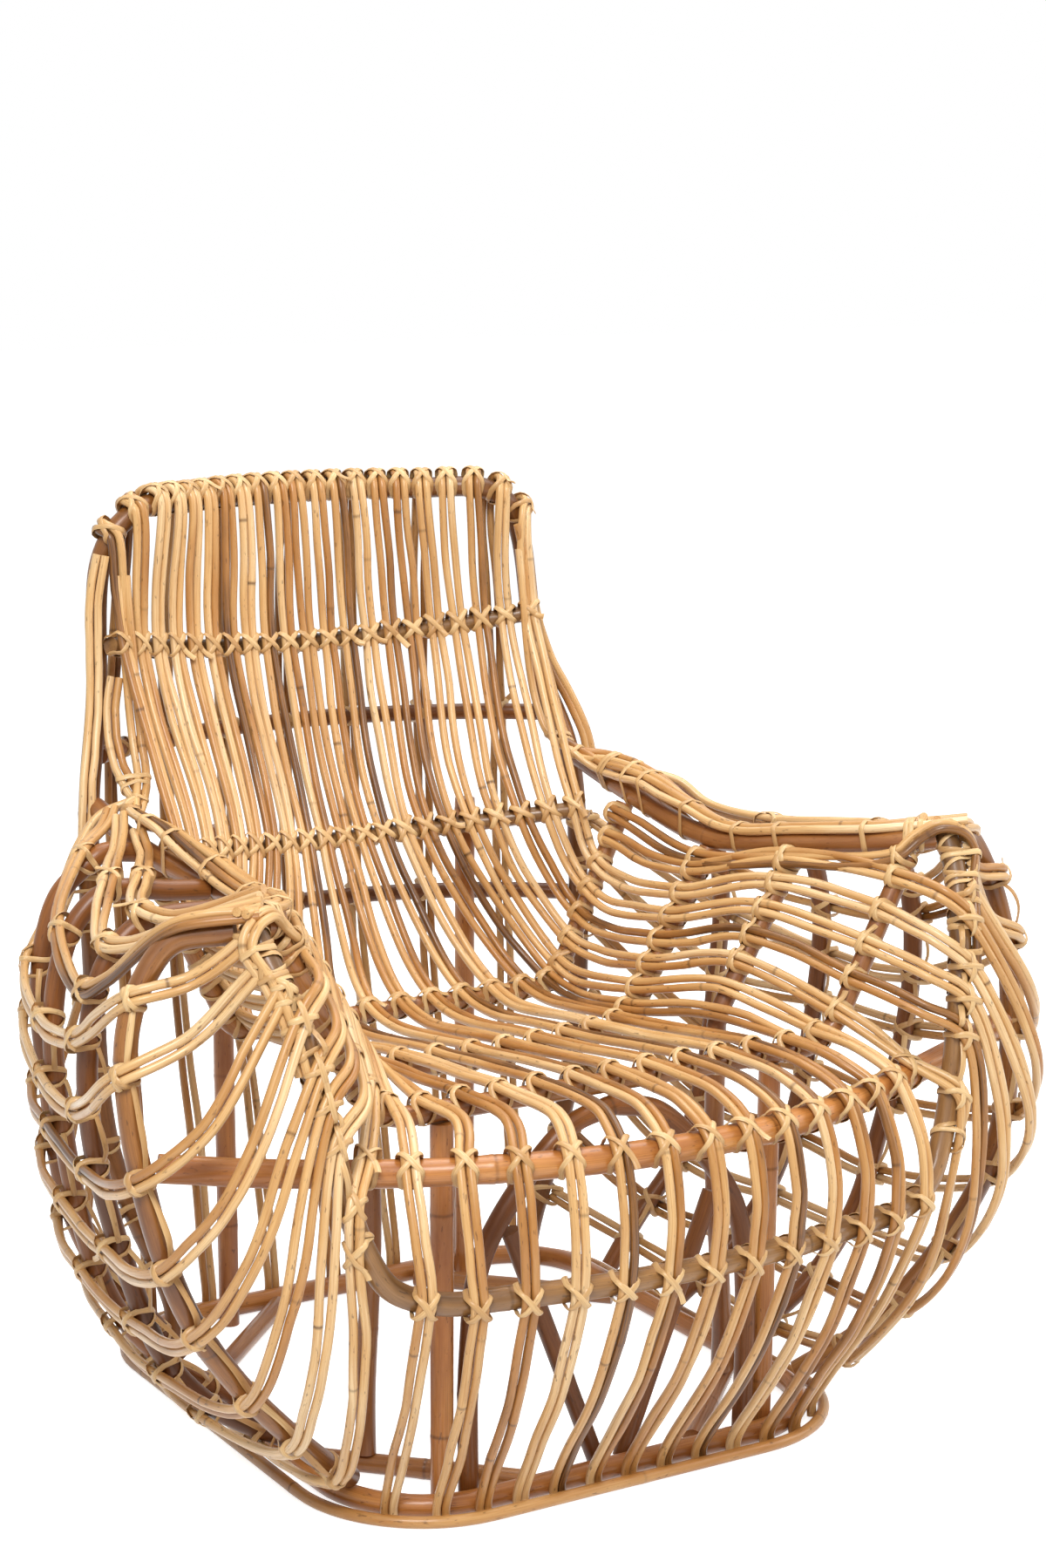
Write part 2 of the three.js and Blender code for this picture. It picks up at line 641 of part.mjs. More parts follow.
function backStations(k) {
  return [
    onPole(upperBar, k * UPPER_BAR_PITCH, vec(0, -0.93, 0.36), BAR_D),
    onPole(lowerBar, k * LOWER_BAR_PITCH, vec(0, -0.87, 0.49), BAR_D),
    ribStation(rearRib, REAR_TIES, k, -0.4, NAIL_GAP),
    ribStation(middleRib, MIDDLE_TIES, k, 0),
  ];
}

// The strand's bend before the front rail, then over both front rails and down to the base.
function frontStations(k) {
  const nail = nailOutside(k * FRONT_BASE_PITCH, -1);
  const rail = pick(railHalf, 'x', k * RAIL_PITCH);
  const lower = pick(hoopHalf, 'x', k * LOWER_RAIL_PITCH);
  const ahead = squareTo(rail.along, vec(0, -1, 0));
  const bend = rail.point.clone().addScaledVector(ahead, -FRONT_ARCH.back).add(vec(0, 0, FRONT_ARCH.up));
  const railFaces = [vec(0, -0.45, 0.89), vec(0, -0.95, 0.31)].map((face) => squareTo(rail.along, face));
  const lowerFaces = [vec(0, -1, 0.08), vec(0, -0.95, -0.3)].map((face) => squareTo(lower.along, face));
  const onRail = turned(rail.point, railFaces, FRONT_RAIL_D);
  const onLower = turned(lower.point, lowerFaces, POLE_D);
  const foot = nail.point.clone().setZ(STRAND_FOOT_Z);
  const swell = onRail[1].point.clone().lerp(onLower[0].point, 0.5).addScaledVector(ahead, FRONT_SWELL);
  const belly = onLower[1].point.clone().lerp(foot, 0.43).addScaledVector(onLower[1].face, FRONT_BELLY);
  return [
    { point: bend, face: ahead.clone().multiplyScalar(0.35).add(vec(0, 0, 0.94)) },
    ...onRail,
    { point: swell, face: ahead },
    ...onLower,
    { point: belly, face: onLower[1].face.clone().add(vec(0, 0, -0.2)).normalize() },
    { point: foot, face: nail.face },
    { point: nail.point.clone().setZ(STRAND_END_Z), face: nail.face },
  ];
}

// Stations of one strand round an arm, from the front hoop over the outer poles to the upright.
function loopStations(i) {
  const hoopUpright = hoopHalf.slice(hoopHalf.length / 2);
  const hoop = pick(hoopUpright, 'z', HOOP_TIE_Z[i]);
  const corner = pick(cornerPole, 'z', CORNER_TIE_Z[i]);
  const upright = pick(backHalf, 'z', UPRIGHT_TIE_Z[i]);
  const sides = sidePoles.map((points, side) => {
    const at = pick(points.slice(3), 'z', SIDE_TIE_Z[side][i]);
    const out = squareTo(at.along, vec(1, 0, 0)).add(vec(0, SIDE_TIE_TURN[side], 0));
    return station(at.point, out, RIB_D);
  });
  const front = [vec(-0.75, -0.65, 0.1), vec(-0.2, -0.98, 0.1), vec(0.4, -0.91, 0)];
  const wrap = HOOP_SLANT.map((rise, turn) => {
    const at = pick(hoopUpright, 'z', HOOP_TIE_Z[i] + rise);
    return turned(at.point, front.map((face) => squareTo(at.along, face)), POLE_D)[turn];
  });
  const outer = [vec(0.5, -0.87, 0), vec(0.95, -0.3, 0)];
  const swell = vec(Math.min(0.4, 0.1 + 0.2 * i), -0.9, 0).normalize().multiplyScalar(BELLY[i]);
  const belly = hoop.point.clone().lerp(corner.point, 0.55).add(swell);
  const leave = pick(hoopUpright, 'z', HOOP_LEAVE_Z);
  const follow = station(leave.point, squareTo(leave.along, vec(0.85, -0.5, 0)), POLE_D, 2 * TIE_GAP);
  return [
    ...wrap,
    ...(i === 0 ? [follow] : []),
    { point: belly, face: vec(0.45, -0.89, 0) },
    ...turned(corner.point, outer.map((face) => squareTo(corner.along, face)), POLE_D),
    ...sides,
    station(upright.point, squareTo(upright.along, vec(1, 0, 0)), POLE_D, NAIL_GAP),
  ];
}

function addStrand(name, stations, side, tone) {
  const place = (v) => (side > 0 ? v.clone() : mirror(v));
  const points = stations.map((s) => place(s.point));
  const faces = stations.map((s) => place(s.face));
  const samples = smooth(points, STRAND_STEP);
  const outward = [];
  points.slice(1).forEach((p, i) => {
    const parts = Math.max(1, Math.ceil(points[i].distanceTo(p) / STRAND_STEP));
    for (let j = 0; j < parts; j += 1) outward.push(faces[i].clone().lerp(faces[i + 1], j / parts));
  });
  outward.push(faces[faces.length - 1]);
  addPiece(name, sweep(pairSection(), samples, outward), tone);
}

function centreStations(k) {
  const seat = k > FRONT_TIES.onSeat - 2 ? [ribStation(armRib, ARM_TIES, k, 0)] : [];
  return [
    ...rearStations(k),
    ...topStations(k),
    ...backStations(k),
    ...seat,
    ...frontRibStations(k, [0.1, -0.3]),
    ...frontStations(k),
  ];
}

function armStations(i) {
  const k = HALF_COUNT + 1 + i;
  const ribs = [ribStation(armRib, ARM_TIES, k, -0.2), ...frontRibStations(k, [-0.3, -0.75])];
  const whole = i < ARM_STRANDS;
  const start = whole ? [...rearStations(k), ...topStations(k), ...backStations(k)] : [
    ribStation(rearRib, REAR_TIES, k, -0.4, NAIL_GAP),
    ribStation(middleRib, MIDDLE_TIES, k, 0),
  ];
  const overRail = i === 0 ? [onPole(railHalf, RAIL_CROSS_X, vec(-0.2, -0.3, 1), FRONT_RAIL_D + TIE_GAP)] : [];
  return [...start, ...ribs, ...overRail, ...loopStations(i)];
}

for (let k = -HALF_COUNT; k <= HALF_COUNT; k += 1) {
  const number = String(k + HALF_COUNT + 1).padStart(2, '0');
  addStrand(`seat_strand_${number}`, centreStations(Math.abs(k)), k < 0 ? -1 : 1, 'straw');
}

[[-1, 'left'], [1, 'right']].forEach(([side, label]) => {
  addFloorBraces(side, label);
  addFrontSupports(side, label);
  addRearPost(side, label);
  addArm(side, label);
  for (let i = 0; i <= ARM_STRANDS; i += 1) {
    addStrand(`arm_strand_${label}_${i + 1}`, armStations(i), side, 'straw');
  }
  addStrand(`arm_loop_${label}`, loopStations(ARM_STRANDS + 1), side, 'straw');
});

// The origin lies on the floor under the middle of the whole chair.
const middle = new THREE.Box3().setFromObject(chair).getCenter(vec(0, 0, 0));
chair.position.y = -middle.y;

export default chair;
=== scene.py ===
"""Dresses a rattan lounge armchair: pairs of thin rods, bound with cane over a frame of bent poles."""

import logging
import math
import zlib
from dataclasses import dataclass
from enum import Enum
from typing import Any, Sequence

import bpy
import numpy as np
from mathutils import Matrix, Vector

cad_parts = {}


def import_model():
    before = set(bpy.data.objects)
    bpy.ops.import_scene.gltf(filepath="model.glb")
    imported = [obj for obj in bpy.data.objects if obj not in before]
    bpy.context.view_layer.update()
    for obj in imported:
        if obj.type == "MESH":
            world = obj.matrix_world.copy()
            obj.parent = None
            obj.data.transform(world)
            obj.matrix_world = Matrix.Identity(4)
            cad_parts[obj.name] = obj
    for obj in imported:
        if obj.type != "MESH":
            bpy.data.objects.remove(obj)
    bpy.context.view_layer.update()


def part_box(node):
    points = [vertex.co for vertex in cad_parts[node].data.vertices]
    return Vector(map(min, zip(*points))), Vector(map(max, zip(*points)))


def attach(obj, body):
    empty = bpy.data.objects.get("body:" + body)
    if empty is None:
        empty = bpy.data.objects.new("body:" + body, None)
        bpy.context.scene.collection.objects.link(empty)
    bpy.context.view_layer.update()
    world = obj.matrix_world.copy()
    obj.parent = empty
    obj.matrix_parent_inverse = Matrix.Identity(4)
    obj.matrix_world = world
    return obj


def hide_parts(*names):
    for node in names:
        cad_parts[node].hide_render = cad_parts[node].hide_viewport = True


LOG = logging.getLogger("armchair")
MM = 0.001
X, Y, Z = 0, 1, 2
MIRROR = np.array([-1.0, 1.0, 1.0])
WHITE = (1.0, 1.0, 1.0, 1.0)
COS_45 = math.sqrt(0.5)
Array = np.ndarray
Rng = np.random.Generator
Pair = tuple[float, float]
Row = tuple[float, ...]
Place = tuple[float, float, float]
Route = tuple[Place, ...]


class TieStyle(Enum):
    """How far a binding's two strips part where they pass over a strand, in millimetres."""

    CROSS = 11.0
    BAND = 3.0


class Side(Enum):
    """The two sides of the chair, as seen from its front."""

    LEFT = -1.0
    RIGHT = 1.0

    @property
    def label(self) -> str:
        """The side's name in the names of its pieces."""
        return self.name.lower()

    @property
    def flip(self) -> Array:
        """Factors that carry a point of the right side to this side."""
        return vec(self.value, 1, 1)


@dataclass(frozen=True)
class Gauge:
    """Thicknesses of the poles and rods, and the gaps between them, in millimetres."""

    pole: float = 22.0
    rib: float = 20.0
    bar: float = 18.0
    front_rail: float = 26.0
    rod: float = 8.4
    edge_rod: float = 12.0
    tie_gap: float = 0.9
    butt_gap: float = 0.7
    nail_gap: float = 0.4
    floor_gap: float = 1.0


GAUGE = Gauge()


def vec(x: float, y: float, z: float) -> Array:
    """A point or a direction as an array."""
    return np.array([x, y, z], dtype=float)


def unit(v: Array) -> Array:
    """The same direction with length 1, for one vector or a row of them."""
    return v / np.linalg.norm(v, axis=-1, keepdims=True)


def square_to(along: Array, way: Array) -> Array:
    """The direction nearest to way that stands square on a pole that runs along a line."""
    return unit(way - along * np.dot(way, along))


def hump(x: Array, width: float) -> Array:
    """A smooth hump of height 1 round zero."""
    return np.exp(-(x / width) ** 2)


def seeded(name: str) -> Rng:
    """Random numbers that are the same in each run for one name."""
    return np.random.default_rng(zlib.crc32(name.encode()))


def linked(name: str, data: Any) -> bpy.types.Object:
    """A new object of the scene, with its data.

    Args:
        name: The object's name.
        data: Its mesh, lamp or camera.

    Returns:
        The new object.
    """
    thing = bpy.data.objects.new(name, data)
    bpy.context.scene.collection.objects.link(thing)
    return thing


def linear(code: str) -> tuple[float, float, float, float]:
    """A colour written as six hexadecimal digits, as a shader reads it.

    Args:
        code: The six digits.

    Returns:
        Red, green, blue and alpha.
    """
    parts = [int(code[i:i + 2], 16) / 255 for i in (0, 2, 4)]
    red, green, blue = [p / 12.92 if p <= 0.04045 else ((p + 0.055) / 1.055) ** 2.4 for p in parts]
    return (red, green, blue, 1.0)


@dataclass(frozen=True)
class Spot:
    """A place on a pole: its centre, the way the pole runs and its radius."""

    point: Array
    along: Array
    radius: float


class Line:
    """A centre line, known by its sample points and their distance along it."""

    def __init__(self, points: Sequence[Array], knots: Sequence[int] = ()) -> None:
        """Measures the line.

        Args:
            points: Sample points in order.
            knots: Which samples are the points that the line was drawn through.
        """
        self.points = np.asarray(points, dtype=float)
        steps = np.linalg.norm(np.diff(self.points, axis=0), axis=1)
        self.reach = np.concatenate([[0.0], np.cumsum(steps)])
        self.knot_samples = knots
        self.knots = [float(self.reach[i]) for i in knots]

    @property
    def length(self) -> float:
        """The line's whole length."""
        return float(self.reach[-1])

    def at(self, s: Any) -> Array:
        """The point, or the row of points, at a distance along the line."""
        return np.stack([np.interp(s, self.reach, self.points[:, i]) for i in range(3)], axis=-1)

    def way(self, s: Any, half: float = 2.0) -> Array:
        """The direction, or the row of directions, in which the line runs at a distance along it."""
        s = np.asarray(s, dtype=float)
        return unit(self.at(np.minimum(s + half, self.length)) - self.at(np.maximum(s - half, 0.0)))

    def crossing(self, axis: int, value: float, start: float = 0.0) -> float:
        """How far along the line a coordinate first reaches a value.

        Args:
            axis: Which coordinate.
            value: The value that it reaches.
            start: Where along the line the search starts.

        Returns:
            The distance along the line, or its length if the value isn't reached.
        """
        values = self.points[:, axis] - value
        for i in range(len(values) - 1):
            if self.reach[i + 1] > start and values[i] * values[i + 1] <= 0 and values[i] != values[i + 1]:
                share = values[i] / (values[i] - values[i + 1])
                return float(self.reach[i] + share * (self.reach[i + 1] - self.reach[i]))
        return self.length

    def spread(self, step: float, bend: float) -> Array:
        """Distances along the line that lie closer together where it bends.

        Args:
            step: The widest spacing on a straight stretch.
            bend: The largest turn between two samples, in degrees.

        Returns:
            The distances, from 0 to the line's length.
        """
        ways = unit(np.diff(self.points, axis=0))
        turns = np.arccos(np.clip(np.sum(ways[:-1] * ways[1:], axis=1), -1.0, 1.0))
        cost = np.diff(self.reach) / step
        cost[1:] += turns / math.radians(bend)
        total = np.concatenate([[0.0], np.cumsum(cost)])
        return np.interp(np.linspace(0, total[-1], math.ceil(total[-1]) + 1), total, self.reach)

    def placed(self, side: Side) -> "Line":
        """The line itself, or its mirror image on the other side of the chair."""
        return Line(self.points * side.flip, self.knot_samples)

    def both_sides(self) -> "Line":
        """A symmetric line made whole from its right half, which starts in the middle."""
        return Line(np.concatenate([(self.points[1:] * MIRROR)[::-1], self.points]))


def smooth(points: Sequence[Array], step: float = 5.0) -> Line:
    """A smooth line through given points, with each of them kept.

    Args:
        points: The points to pass through.
        step: The widest spacing of the samples.

    Returns:
        The line, whose knots are the given points.
    """
    given = np.asarray(points, dtype=float)
    padded = np.concatenate([[2 * given[0] - given[1]], given, [2 * given[-1] - given[-2]]])
    samples, knots = [], []
    for i in range(len(given) - 1):
        p0, p1, p2, p3 = padded[i:i + 4]
        d0, d1, d2 = (math.sqrt(np.linalg.norm(b - a)) for a, b in ((p0, p1), (p1, p2), (p2, p3)))
        leave = ((p1 - p0) / d0 - (p2 - p0) / (d0 + d1) + (p2 - p1) / d1) * d1
        arrive = ((p2 - p1) / d1 - (p3 - p1) / (d1 + d2) + (p3 - p2) / d2) * d1
        parts = max(1, math.ceil(np.linalg.norm(p2 - p1) / step))
        t = (np.arange(parts) / parts)[:, None]
        bend2 = -3 * p1 + 3 * p2 - 2 * leave - arrive
        bend3 = 2 * p1 - 2 * p2 + leave + arrive
        knots.append(len(samples))
        samples.extend(p1 + t * leave + t ** 2 * bend2 + t ** 3 * bend3)
    knots.append(len(samples))
    samples.append(given[-1])
    return Line(samples, knots)


def ring_through(points: Sequence[Array], count: int) -> Array:
    """A closed smooth loop through given points.

    Args:
        points: The points of the loop, with the first not repeated.
        count: How many samples the loop gets.

    Returns:
        The samples, evenly spaced.
    """
    lap = list(points[-2:]) + list(points) + list(points[:3])
    line = smooth(lap, 1.5)
    start, end = line.knots[2], line.knots[2 + len(points)]
    return line.at(np.linspace(start, end, count, endpoint=False))


@dataclass
class Pole:
    """A bent pole: its centre line and its thickness in millimetres."""

    line: Line
    diameter: float

    def spot(self, axis: int, value: float, start: float = 0.0) -> Spot:
        """The place where the pole first reaches a coordinate.

        Args:
            axis: Which coordinate.
            value: The value that it reaches.
            start: Where along the pole the search starts.

        Returns:
            The place on the pole.
        """
        return self.spot_at(self.line.crossing(axis, value, start))

    def spot_at(self, s: float) -> Spot:
        """The place at a distance along the pole."""
        return Spot(self.line.at(s), self.line.way(s), self.diameter / 2)

    def placed(self, side: Side) -> "Pole":
        """The pole itself, or its mirror image on the other side of the chair."""
        return Pole(self.line.placed(side), self.diameter)

    def both_sides(self) -> "Pole":
        """A symmetric pole made whole from its right half."""
        return Pole(self.line.both_sides(), self.diameter)


def butt(start: Array, target: Array, along: Array, diameter: float) -> Array:
    """The end of a pole that runs towards another pole and stops at its surface.

    Args:
        start: Where the last stretch of the pole begins.
        target: A point on the other pole's centre line.
        along: The way the other pole runs.
        diameter: Thickness of the pole that stops.

    Returns:
        The end point of the pole that stops.
    """
    way = unit(target - start)
    slant = abs(float(np.dot(way, along)))
    short = (GAUGE.pole / 2 + GAUGE.butt_gap + diameter / 2 * slant) / math.sqrt(1 - slant * slant)
    return target - way * short


class Waver:
    """A gentle, irregular wave, so that no two rods run quite alike."""

    least = (0.7, 0.35, 0.18)
    most = (1.0, 0.55, 0.3)
    heights = np.array([0.6, 0.28, 0.12])

    def __init__(self, rng: Rng, longest: float) -> None:
        """Draws three waves of random length and phase, the longest of a given length."""
        self.lengths = longest * rng.uniform(self.least, self.most)
        self.phases = rng.uniform(0, 2 * math.pi, 3)

    def __call__(self, s: Array) -> Array:
        """The wave's height, from -1 to 1, at distances along a rod."""
        angles = np.asarray(s)[..., None] * 2 * math.pi / self.lengths + self.phases
        return np.sum(np.sin(angles) * self.heights, axis=-1)


class Draft:
    """Collects the surfaces of one piece, in millimetres, before it becomes a mesh."""

    def __init__(self) -> None:
        """Starts with nothing in it."""
        self.vertices: list[Array] = []
        self.grain: list[Array] = []
        self.tone: list[Array] = []
        self.ring: list[Array] = []
        self.faces: list[tuple[int, ...]] = []
        self.count = 0

    def sweep(self, centres: Array, outward: Array, section: Array, scale: Array, along: Array,
              tone: Any, ring: Array, closed: bool = False) -> None:
        """Draws a section along a row of points.

        Args:
            centres: Points of the path.
            outward: The way the section's upper side faces at each point.
            section: Corners of the section, counter-clockwise, as sideways and outward offsets.
            scale: Size of the section at each point.
            along: Distance along the path at each point, for the grain.
            tone: How dark this rod is, from 0 to 1, or how dark it is at each point.
            ring: How near each point is to a knuckle, from 0 to 1.
            closed: Whether the path joins its own start.
        """
        if closed:
            ways = unit(np.roll(centres, -1, axis=0) - np.roll(centres, 1, axis=0))
        else:
            ways = unit(np.gradient(centres, axis=0))
        side = unit(np.cross(outward, ways))
        out = np.cross(ways, side)
        n, m = len(centres), len(section)
        across = side[:, None, :] * section[None, :, 0, None] + out[:, None, :] * section[None, :, 1, None]
        points = centres[:, None, :] + across * scale[:, None, None]
        flat = section[None, :, :] * scale[:, None, None]
        grain = np.concatenate([flat, np.repeat(along[:, None, None], m, axis=1)], axis=2)
        self.vertices.append(points.reshape(-1, 3))
        self.grain.append(grain.reshape(-1, 3))
        self.tone.append(np.repeat(np.broadcast_to(tone, n), m))
        self.ring.append(np.repeat(ring, m))
        first = np.arange(n if closed else n - 1)
        after = (first + 1) % n
        j = np.arange(m)
        following = (j + 1) % m
        quads = np.stack([
            first[:, None] * m + j, first[:, None] * m + following,
            after[:, None] * m + following, after[:, None] * m + j,
        ], axis=-1).reshape(-1, 4) + self.count
        self.faces.extend(map(tuple, quads.tolist()))
        if not closed:
            self.faces.append(tuple((self.count + j[::-1]).tolist()))
            self.faces.append(tuple((self.count + (n - 1) * m + j).tolist()))
        self.count += n * m


def round_section(sides: int) -> Array:
    """Corners of a round section of radius 1."""
    angles = np.arange(sides) * 2 * math.pi / sides
    return np.stack([np.cos(angles), np.sin(angles)], axis=1)


POLE_SIDES = 18
POLE_SECTION = round_section(POLE_SIDES)
ROD_SECTION = round_section(9)
GRAIN_STEP = 1000.0


class Knuckles:
    """The knuckles of one rattan rod: rings where a leaf once grew. Lengths are in millimetres."""

    near = np.array([-9.0, -4.0, -1.6, -0.5, 0.5, 1.6, 4.0, 9.0])
    closest = 0.45
    clearance = 8.0
    faintest = 0.25
    swell_width = 5.5
    groove_depth = 0.55
    groove_place = 1.8
    groove_width = 1.3
    ring_place = 1.2
    ring_width = 1.5

    def __init__(self, rng: Rng, length: float, nearest: float, farthest: float) -> None:
        """Spaces knuckles along a rod.

        Args:
            rng: Random numbers of this rod.
            length: The rod's length.
            nearest: The shortest spacing.
            farthest: The longest spacing.
        """
        places = [rng.uniform(0.1, 0.9) * farthest]
        while places[-1] < length:
            places.append(places[-1] + rng.uniform(nearest, farthest))
        self.places = np.array([p for p in places if self.clearance < p < length - self.clearance])
        self.strength = rng.uniform(self.faintest, 1.0, len(self.places))

    def distances(self, base: Array) -> Array:
        """Sample distances with close samples added at each knuckle.

        Args:
            base: The samples without the knuckles.

        Returns:
            The distances in order.
        """
        extra = (self.places[:, None] + self.near).ravel()
        merged = np.sort(np.concatenate([base, extra]))
        keep = np.concatenate([[True], np.diff(merged) > self.closest])
        return merged[keep]

    def swelling(self, s: Array) -> tuple[Array, Array]:
        """How much a rod swells, and how dark its ring is, at distances along it.

        Args:
            s: Distances along the rod.

        Returns:
            The swelling and the darkness at each distance.
        """
        if not len(self.places):
            return np.zeros_like(s), np.zeros_like(s)
        gap = s[:, None] - self.places
        closest = np.argmin(np.abs(gap), axis=1)
        near = gap[np.arange(len(s)), closest]
        groove = self.groove_depth * hump(near - self.groove_place, self.groove_width)
        ring = hump(near - self.ring_place, self.ring_width) * self.strength[closest]
        return hump(near, self.swell_width) - groove, ring


@dataclass(frozen=True)
class Pattern:
    """A noise pattern in the grain: its spots per metre across and along a rod, and its finer layers."""

    across: float
    along: float
    detail: float


FIBRE = Pattern(900.0, 16.0, 3.0)
BLOTCH = Pattern(55.0, 9.0, 4.0)
CLOUD = Pattern(14.0, 3.2, 2.0)
FLECK = Pattern(300.0, 85.0, 2.0)


class Graph:
    """The node tree of a material or a world, with short calls for adding and joining nodes."""

    def __init__(self, owner: Any) -> None:
        """Empties the tree of a new material or world.

        Args:
            owner: The material or world.
        """
        self.owner = owner
        owner.use_nodes = True
        self.tree = owner.node_tree
        self.tree.nodes.clear()

    def add(self, kind: str, inputs: dict[Any, Any], **fields: Any) -> bpy.types.Node:
        """Adds a node.

        Args:
            kind: The node's type.
            inputs: Values or sockets for its inputs, by name or number.
            **fields: Other settings of the node.

        Returns:
            The new node.
        """
        node = self.tree.nodes.new(kind)
        for key, value in fields.items():
            setattr(node, key, value)
        for key, value in inputs.items():
            if isinstance(value, bpy.types.NodeSocket):
                self.tree.links.new(value, node.inputs[key])
            else:
                node.inputs[key].default_value = value
        return node

    def attribute(self, name: str) -> bpy.types.Node:
        """A node that reads one of the piece's own attributes."""
        return self.add("ShaderNodeAttribute", {}, attribute_name=name)

    def noise(self, place: Any, pattern: Pattern) -> Any:
        """A noise pattern that is stretched along the grain.

        Args:
            place: Socket that gives the place in the grain.
            pattern: The pattern's spots and layers.

        Returns:
            The socket with the pattern's height.
        """
        stretch = (pattern.across, pattern.across, pattern.along)
        scaled = self.add("ShaderNodeVectorMath", {0: place, 1: stretch}, operation="MULTIPLY")
        return self.add("ShaderNodeTexNoise", {
            "Vector": scaled.outputs[0], "Scale": 1.0, "Detail": pattern.detail, "Roughness": 0.6,
        }).outputs["Fac"]

    def math(self, operation: str, first: Any, second: Any) -> Any:
        """The result of a sum on two values or sockets."""
        return self.add("ShaderNodeMath", {0: first, 1: second}, operation=operation).outputs[0]

    def between(self, value: Any, given: Pair, wanted: Pair) -> Any:
        """A value moved from one range to another, and held inside it.

        Args:
            value: The socket with the value.
            given: Its range.
            wanted: The new range.

        Returns:
            The new socket.
        """
        return self.add("ShaderNodeMapRange", {
            "Value": value, "From Min": given[0], "From Max": given[1],
            "To Min": wanted[0], "To Max": wanted[1],
        }).outputs["Result"]

    def ramp(self, value: Any, stops: Sequence[tuple[float, str]]) -> Any:
        """A colour picked from a row of colours by a value.

        Args:
            value: The socket that picks.
            stops: Each colour's place and code.

        Returns:
            The colour's socket.
        """
        node = self.add("ShaderNodeValToRGB", {"Fac": value})
        elements = node.color_ramp.elements
        while len(elements) < len(stops):
            elements.new(0.5)
        for element, (place, code) in zip(elements, stops):
            element.position = place
            element.color = linear(code)
        return node.outputs["Color"]

    def mix(self, share: Any, first: Any, second: Any) -> Any:
        """Two colours mixed by a share."""
        return self.add("ShaderNodeMix", {0: share, 6: first, 7: second}, data_type="RGBA").outputs[2]

    def looked_at(self) -> Any:
        """A socket that is 1 where a surface is seen or mirrored, and 0 where it only gives light.

        Returns:
            The socket.
        """
        seen = self.add("ShaderNodeLightPath", {}).outputs
        straight = self.math("MAXIMUM", seen["Is Camera Ray"], seen["Is Glossy Ray"])
        return self.math("MAXIMUM", straight, seen["Is Transmission Ray"])

    def finish(self, shader: Any, output: str = "ShaderNodeOutputMaterial") -> Any:
        """Joins the shader to the output and hands the material or world over."""
        self.add(output, {"Surface": shader})
        return self.owner


@dataclass(frozen=True)
class RattanFinish:
    """Varnished rattan: its colours from pale to dark, its flecks and its gloss."""

    slot: str
    pale: str
    body: str
    deep: str
    dark: str
    spread: float
    blotch: float
    fleck: float
    roughness: float
    coat: float

    def material(self) -> bpy.types.Material:
        """Builds the finish from noise that runs along each rod, with dark rings at the knuckles.

        Returns:
            The new material.
        """
        graph = Graph(bpy.data.materials.new(f"{self.slot}_{self.body}"))
        place = graph.attribute("grain").outputs["Vector"]
        tone = graph.attribute("tone").outputs["Fac"]
        ring = graph.attribute("ring").outputs["Fac"]
        fibre, blotch, cloud, fleck = [graph.noise(place, p) for p in (FIBRE, BLOTCH, CLOUD, FLECK)]
        shade = graph.math("MULTIPLY", tone, self.spread)
        patches = graph.between(blotch, (0.34, 0.70), (0.0, self.blotch))
        drift = graph.between(cloud, (0.35, 0.68), (0.0, self.blotch))
        level = graph.math("ADD", graph.math("ADD", shade, patches), drift)
        colour = graph.ramp(level, [
            (0.0, self.pale), (0.38, self.body), (0.72, self.deep), (1.0, self.dark),
        ])
        streak = graph.between(fibre, (0.42, 0.64), (0.0, 0.46))
        colour = graph.mix(streak, colour, linear(self.deep))
        spots = graph.between(fleck, (0.64, 0.72), (0.0, self.fleck))
        colour = graph.mix(spots, colour, linear(self.dark))
        knuckle = graph.math("MULTIPLY", ring, graph.between(blotch, (0.3, 0.6), (0.55, 0.95)))
        colour = graph.mix(knuckle, colour, linear(self.dark))
        smoothest, roughest = self.roughness - 0.08, self.roughness + 0.14
        gloss = graph.between(graph.math("ADD", fibre, blotch), (0.6, 1.4), (smoothest, roughest))
        ridges, pits = graph.math("MULTIPLY", fibre, 0.5), graph.math("MULTIPLY", spots, 0.4)
        height = graph.math("SUBTRACT", ridges, pits)
        bump = graph.add("ShaderNodeBump", {"Strength": 0.35, "Distance": 0.0006, "Height": height})
        shader = graph.add("ShaderNodeBsdfPrincipled", {
            "Base Color": colour, "Roughness": gloss, "Normal": bump.outputs[0],
            "Coat Weight": self.coat, "Coat Roughness": 0.16, "Specular IOR Level": 0.38,
        })
        return graph.finish(shader.outputs[0])


STRAW = RattanFinish(
    "straw_rods", "eed2a4", "d8ad72", "ae773b", "523010",
    spread=0.68, blotch=0.28, fleck=0.60, roughness=0.37, coat=0.26)
HONEY = RattanFinish(
    "honey_poles", "d99f5a", "c28142", "985a28", "4c2811",
    spread=0.50, blotch=0.36, fleck=0.60, roughness=0.36, coat=0.32)
TAN = RattanFinish(
    "tan_poles", "c99457", "b0773f", "875228", "4b2a15",
    spread=0.50, blotch=0.34, fleck=0.50, roughness=0.36, coat=0.34)
UMBER = RattanFinish(
    "tan_poles", "ad7239", "8d5925", "643a14", "371f0a",
    spread=0.50, blotch=0.34, fleck=0.50, roughness=0.40, coat=0.16)
OLIVE = RattanFinish(
    "olive_poles", "c29664", "a37848", "76522d", "3f2914",
    spread=0.50, blotch=0.38, fleck=0.60, roughness=0.38, coat=0.32)
AMBER = RattanFinish(
    "olive_poles", "c0894a", "9f6932", "71431d", "3a200e",
    spread=0.50, blotch=0.44, fleck=0.60, roughness=0.36, coat=0.30)
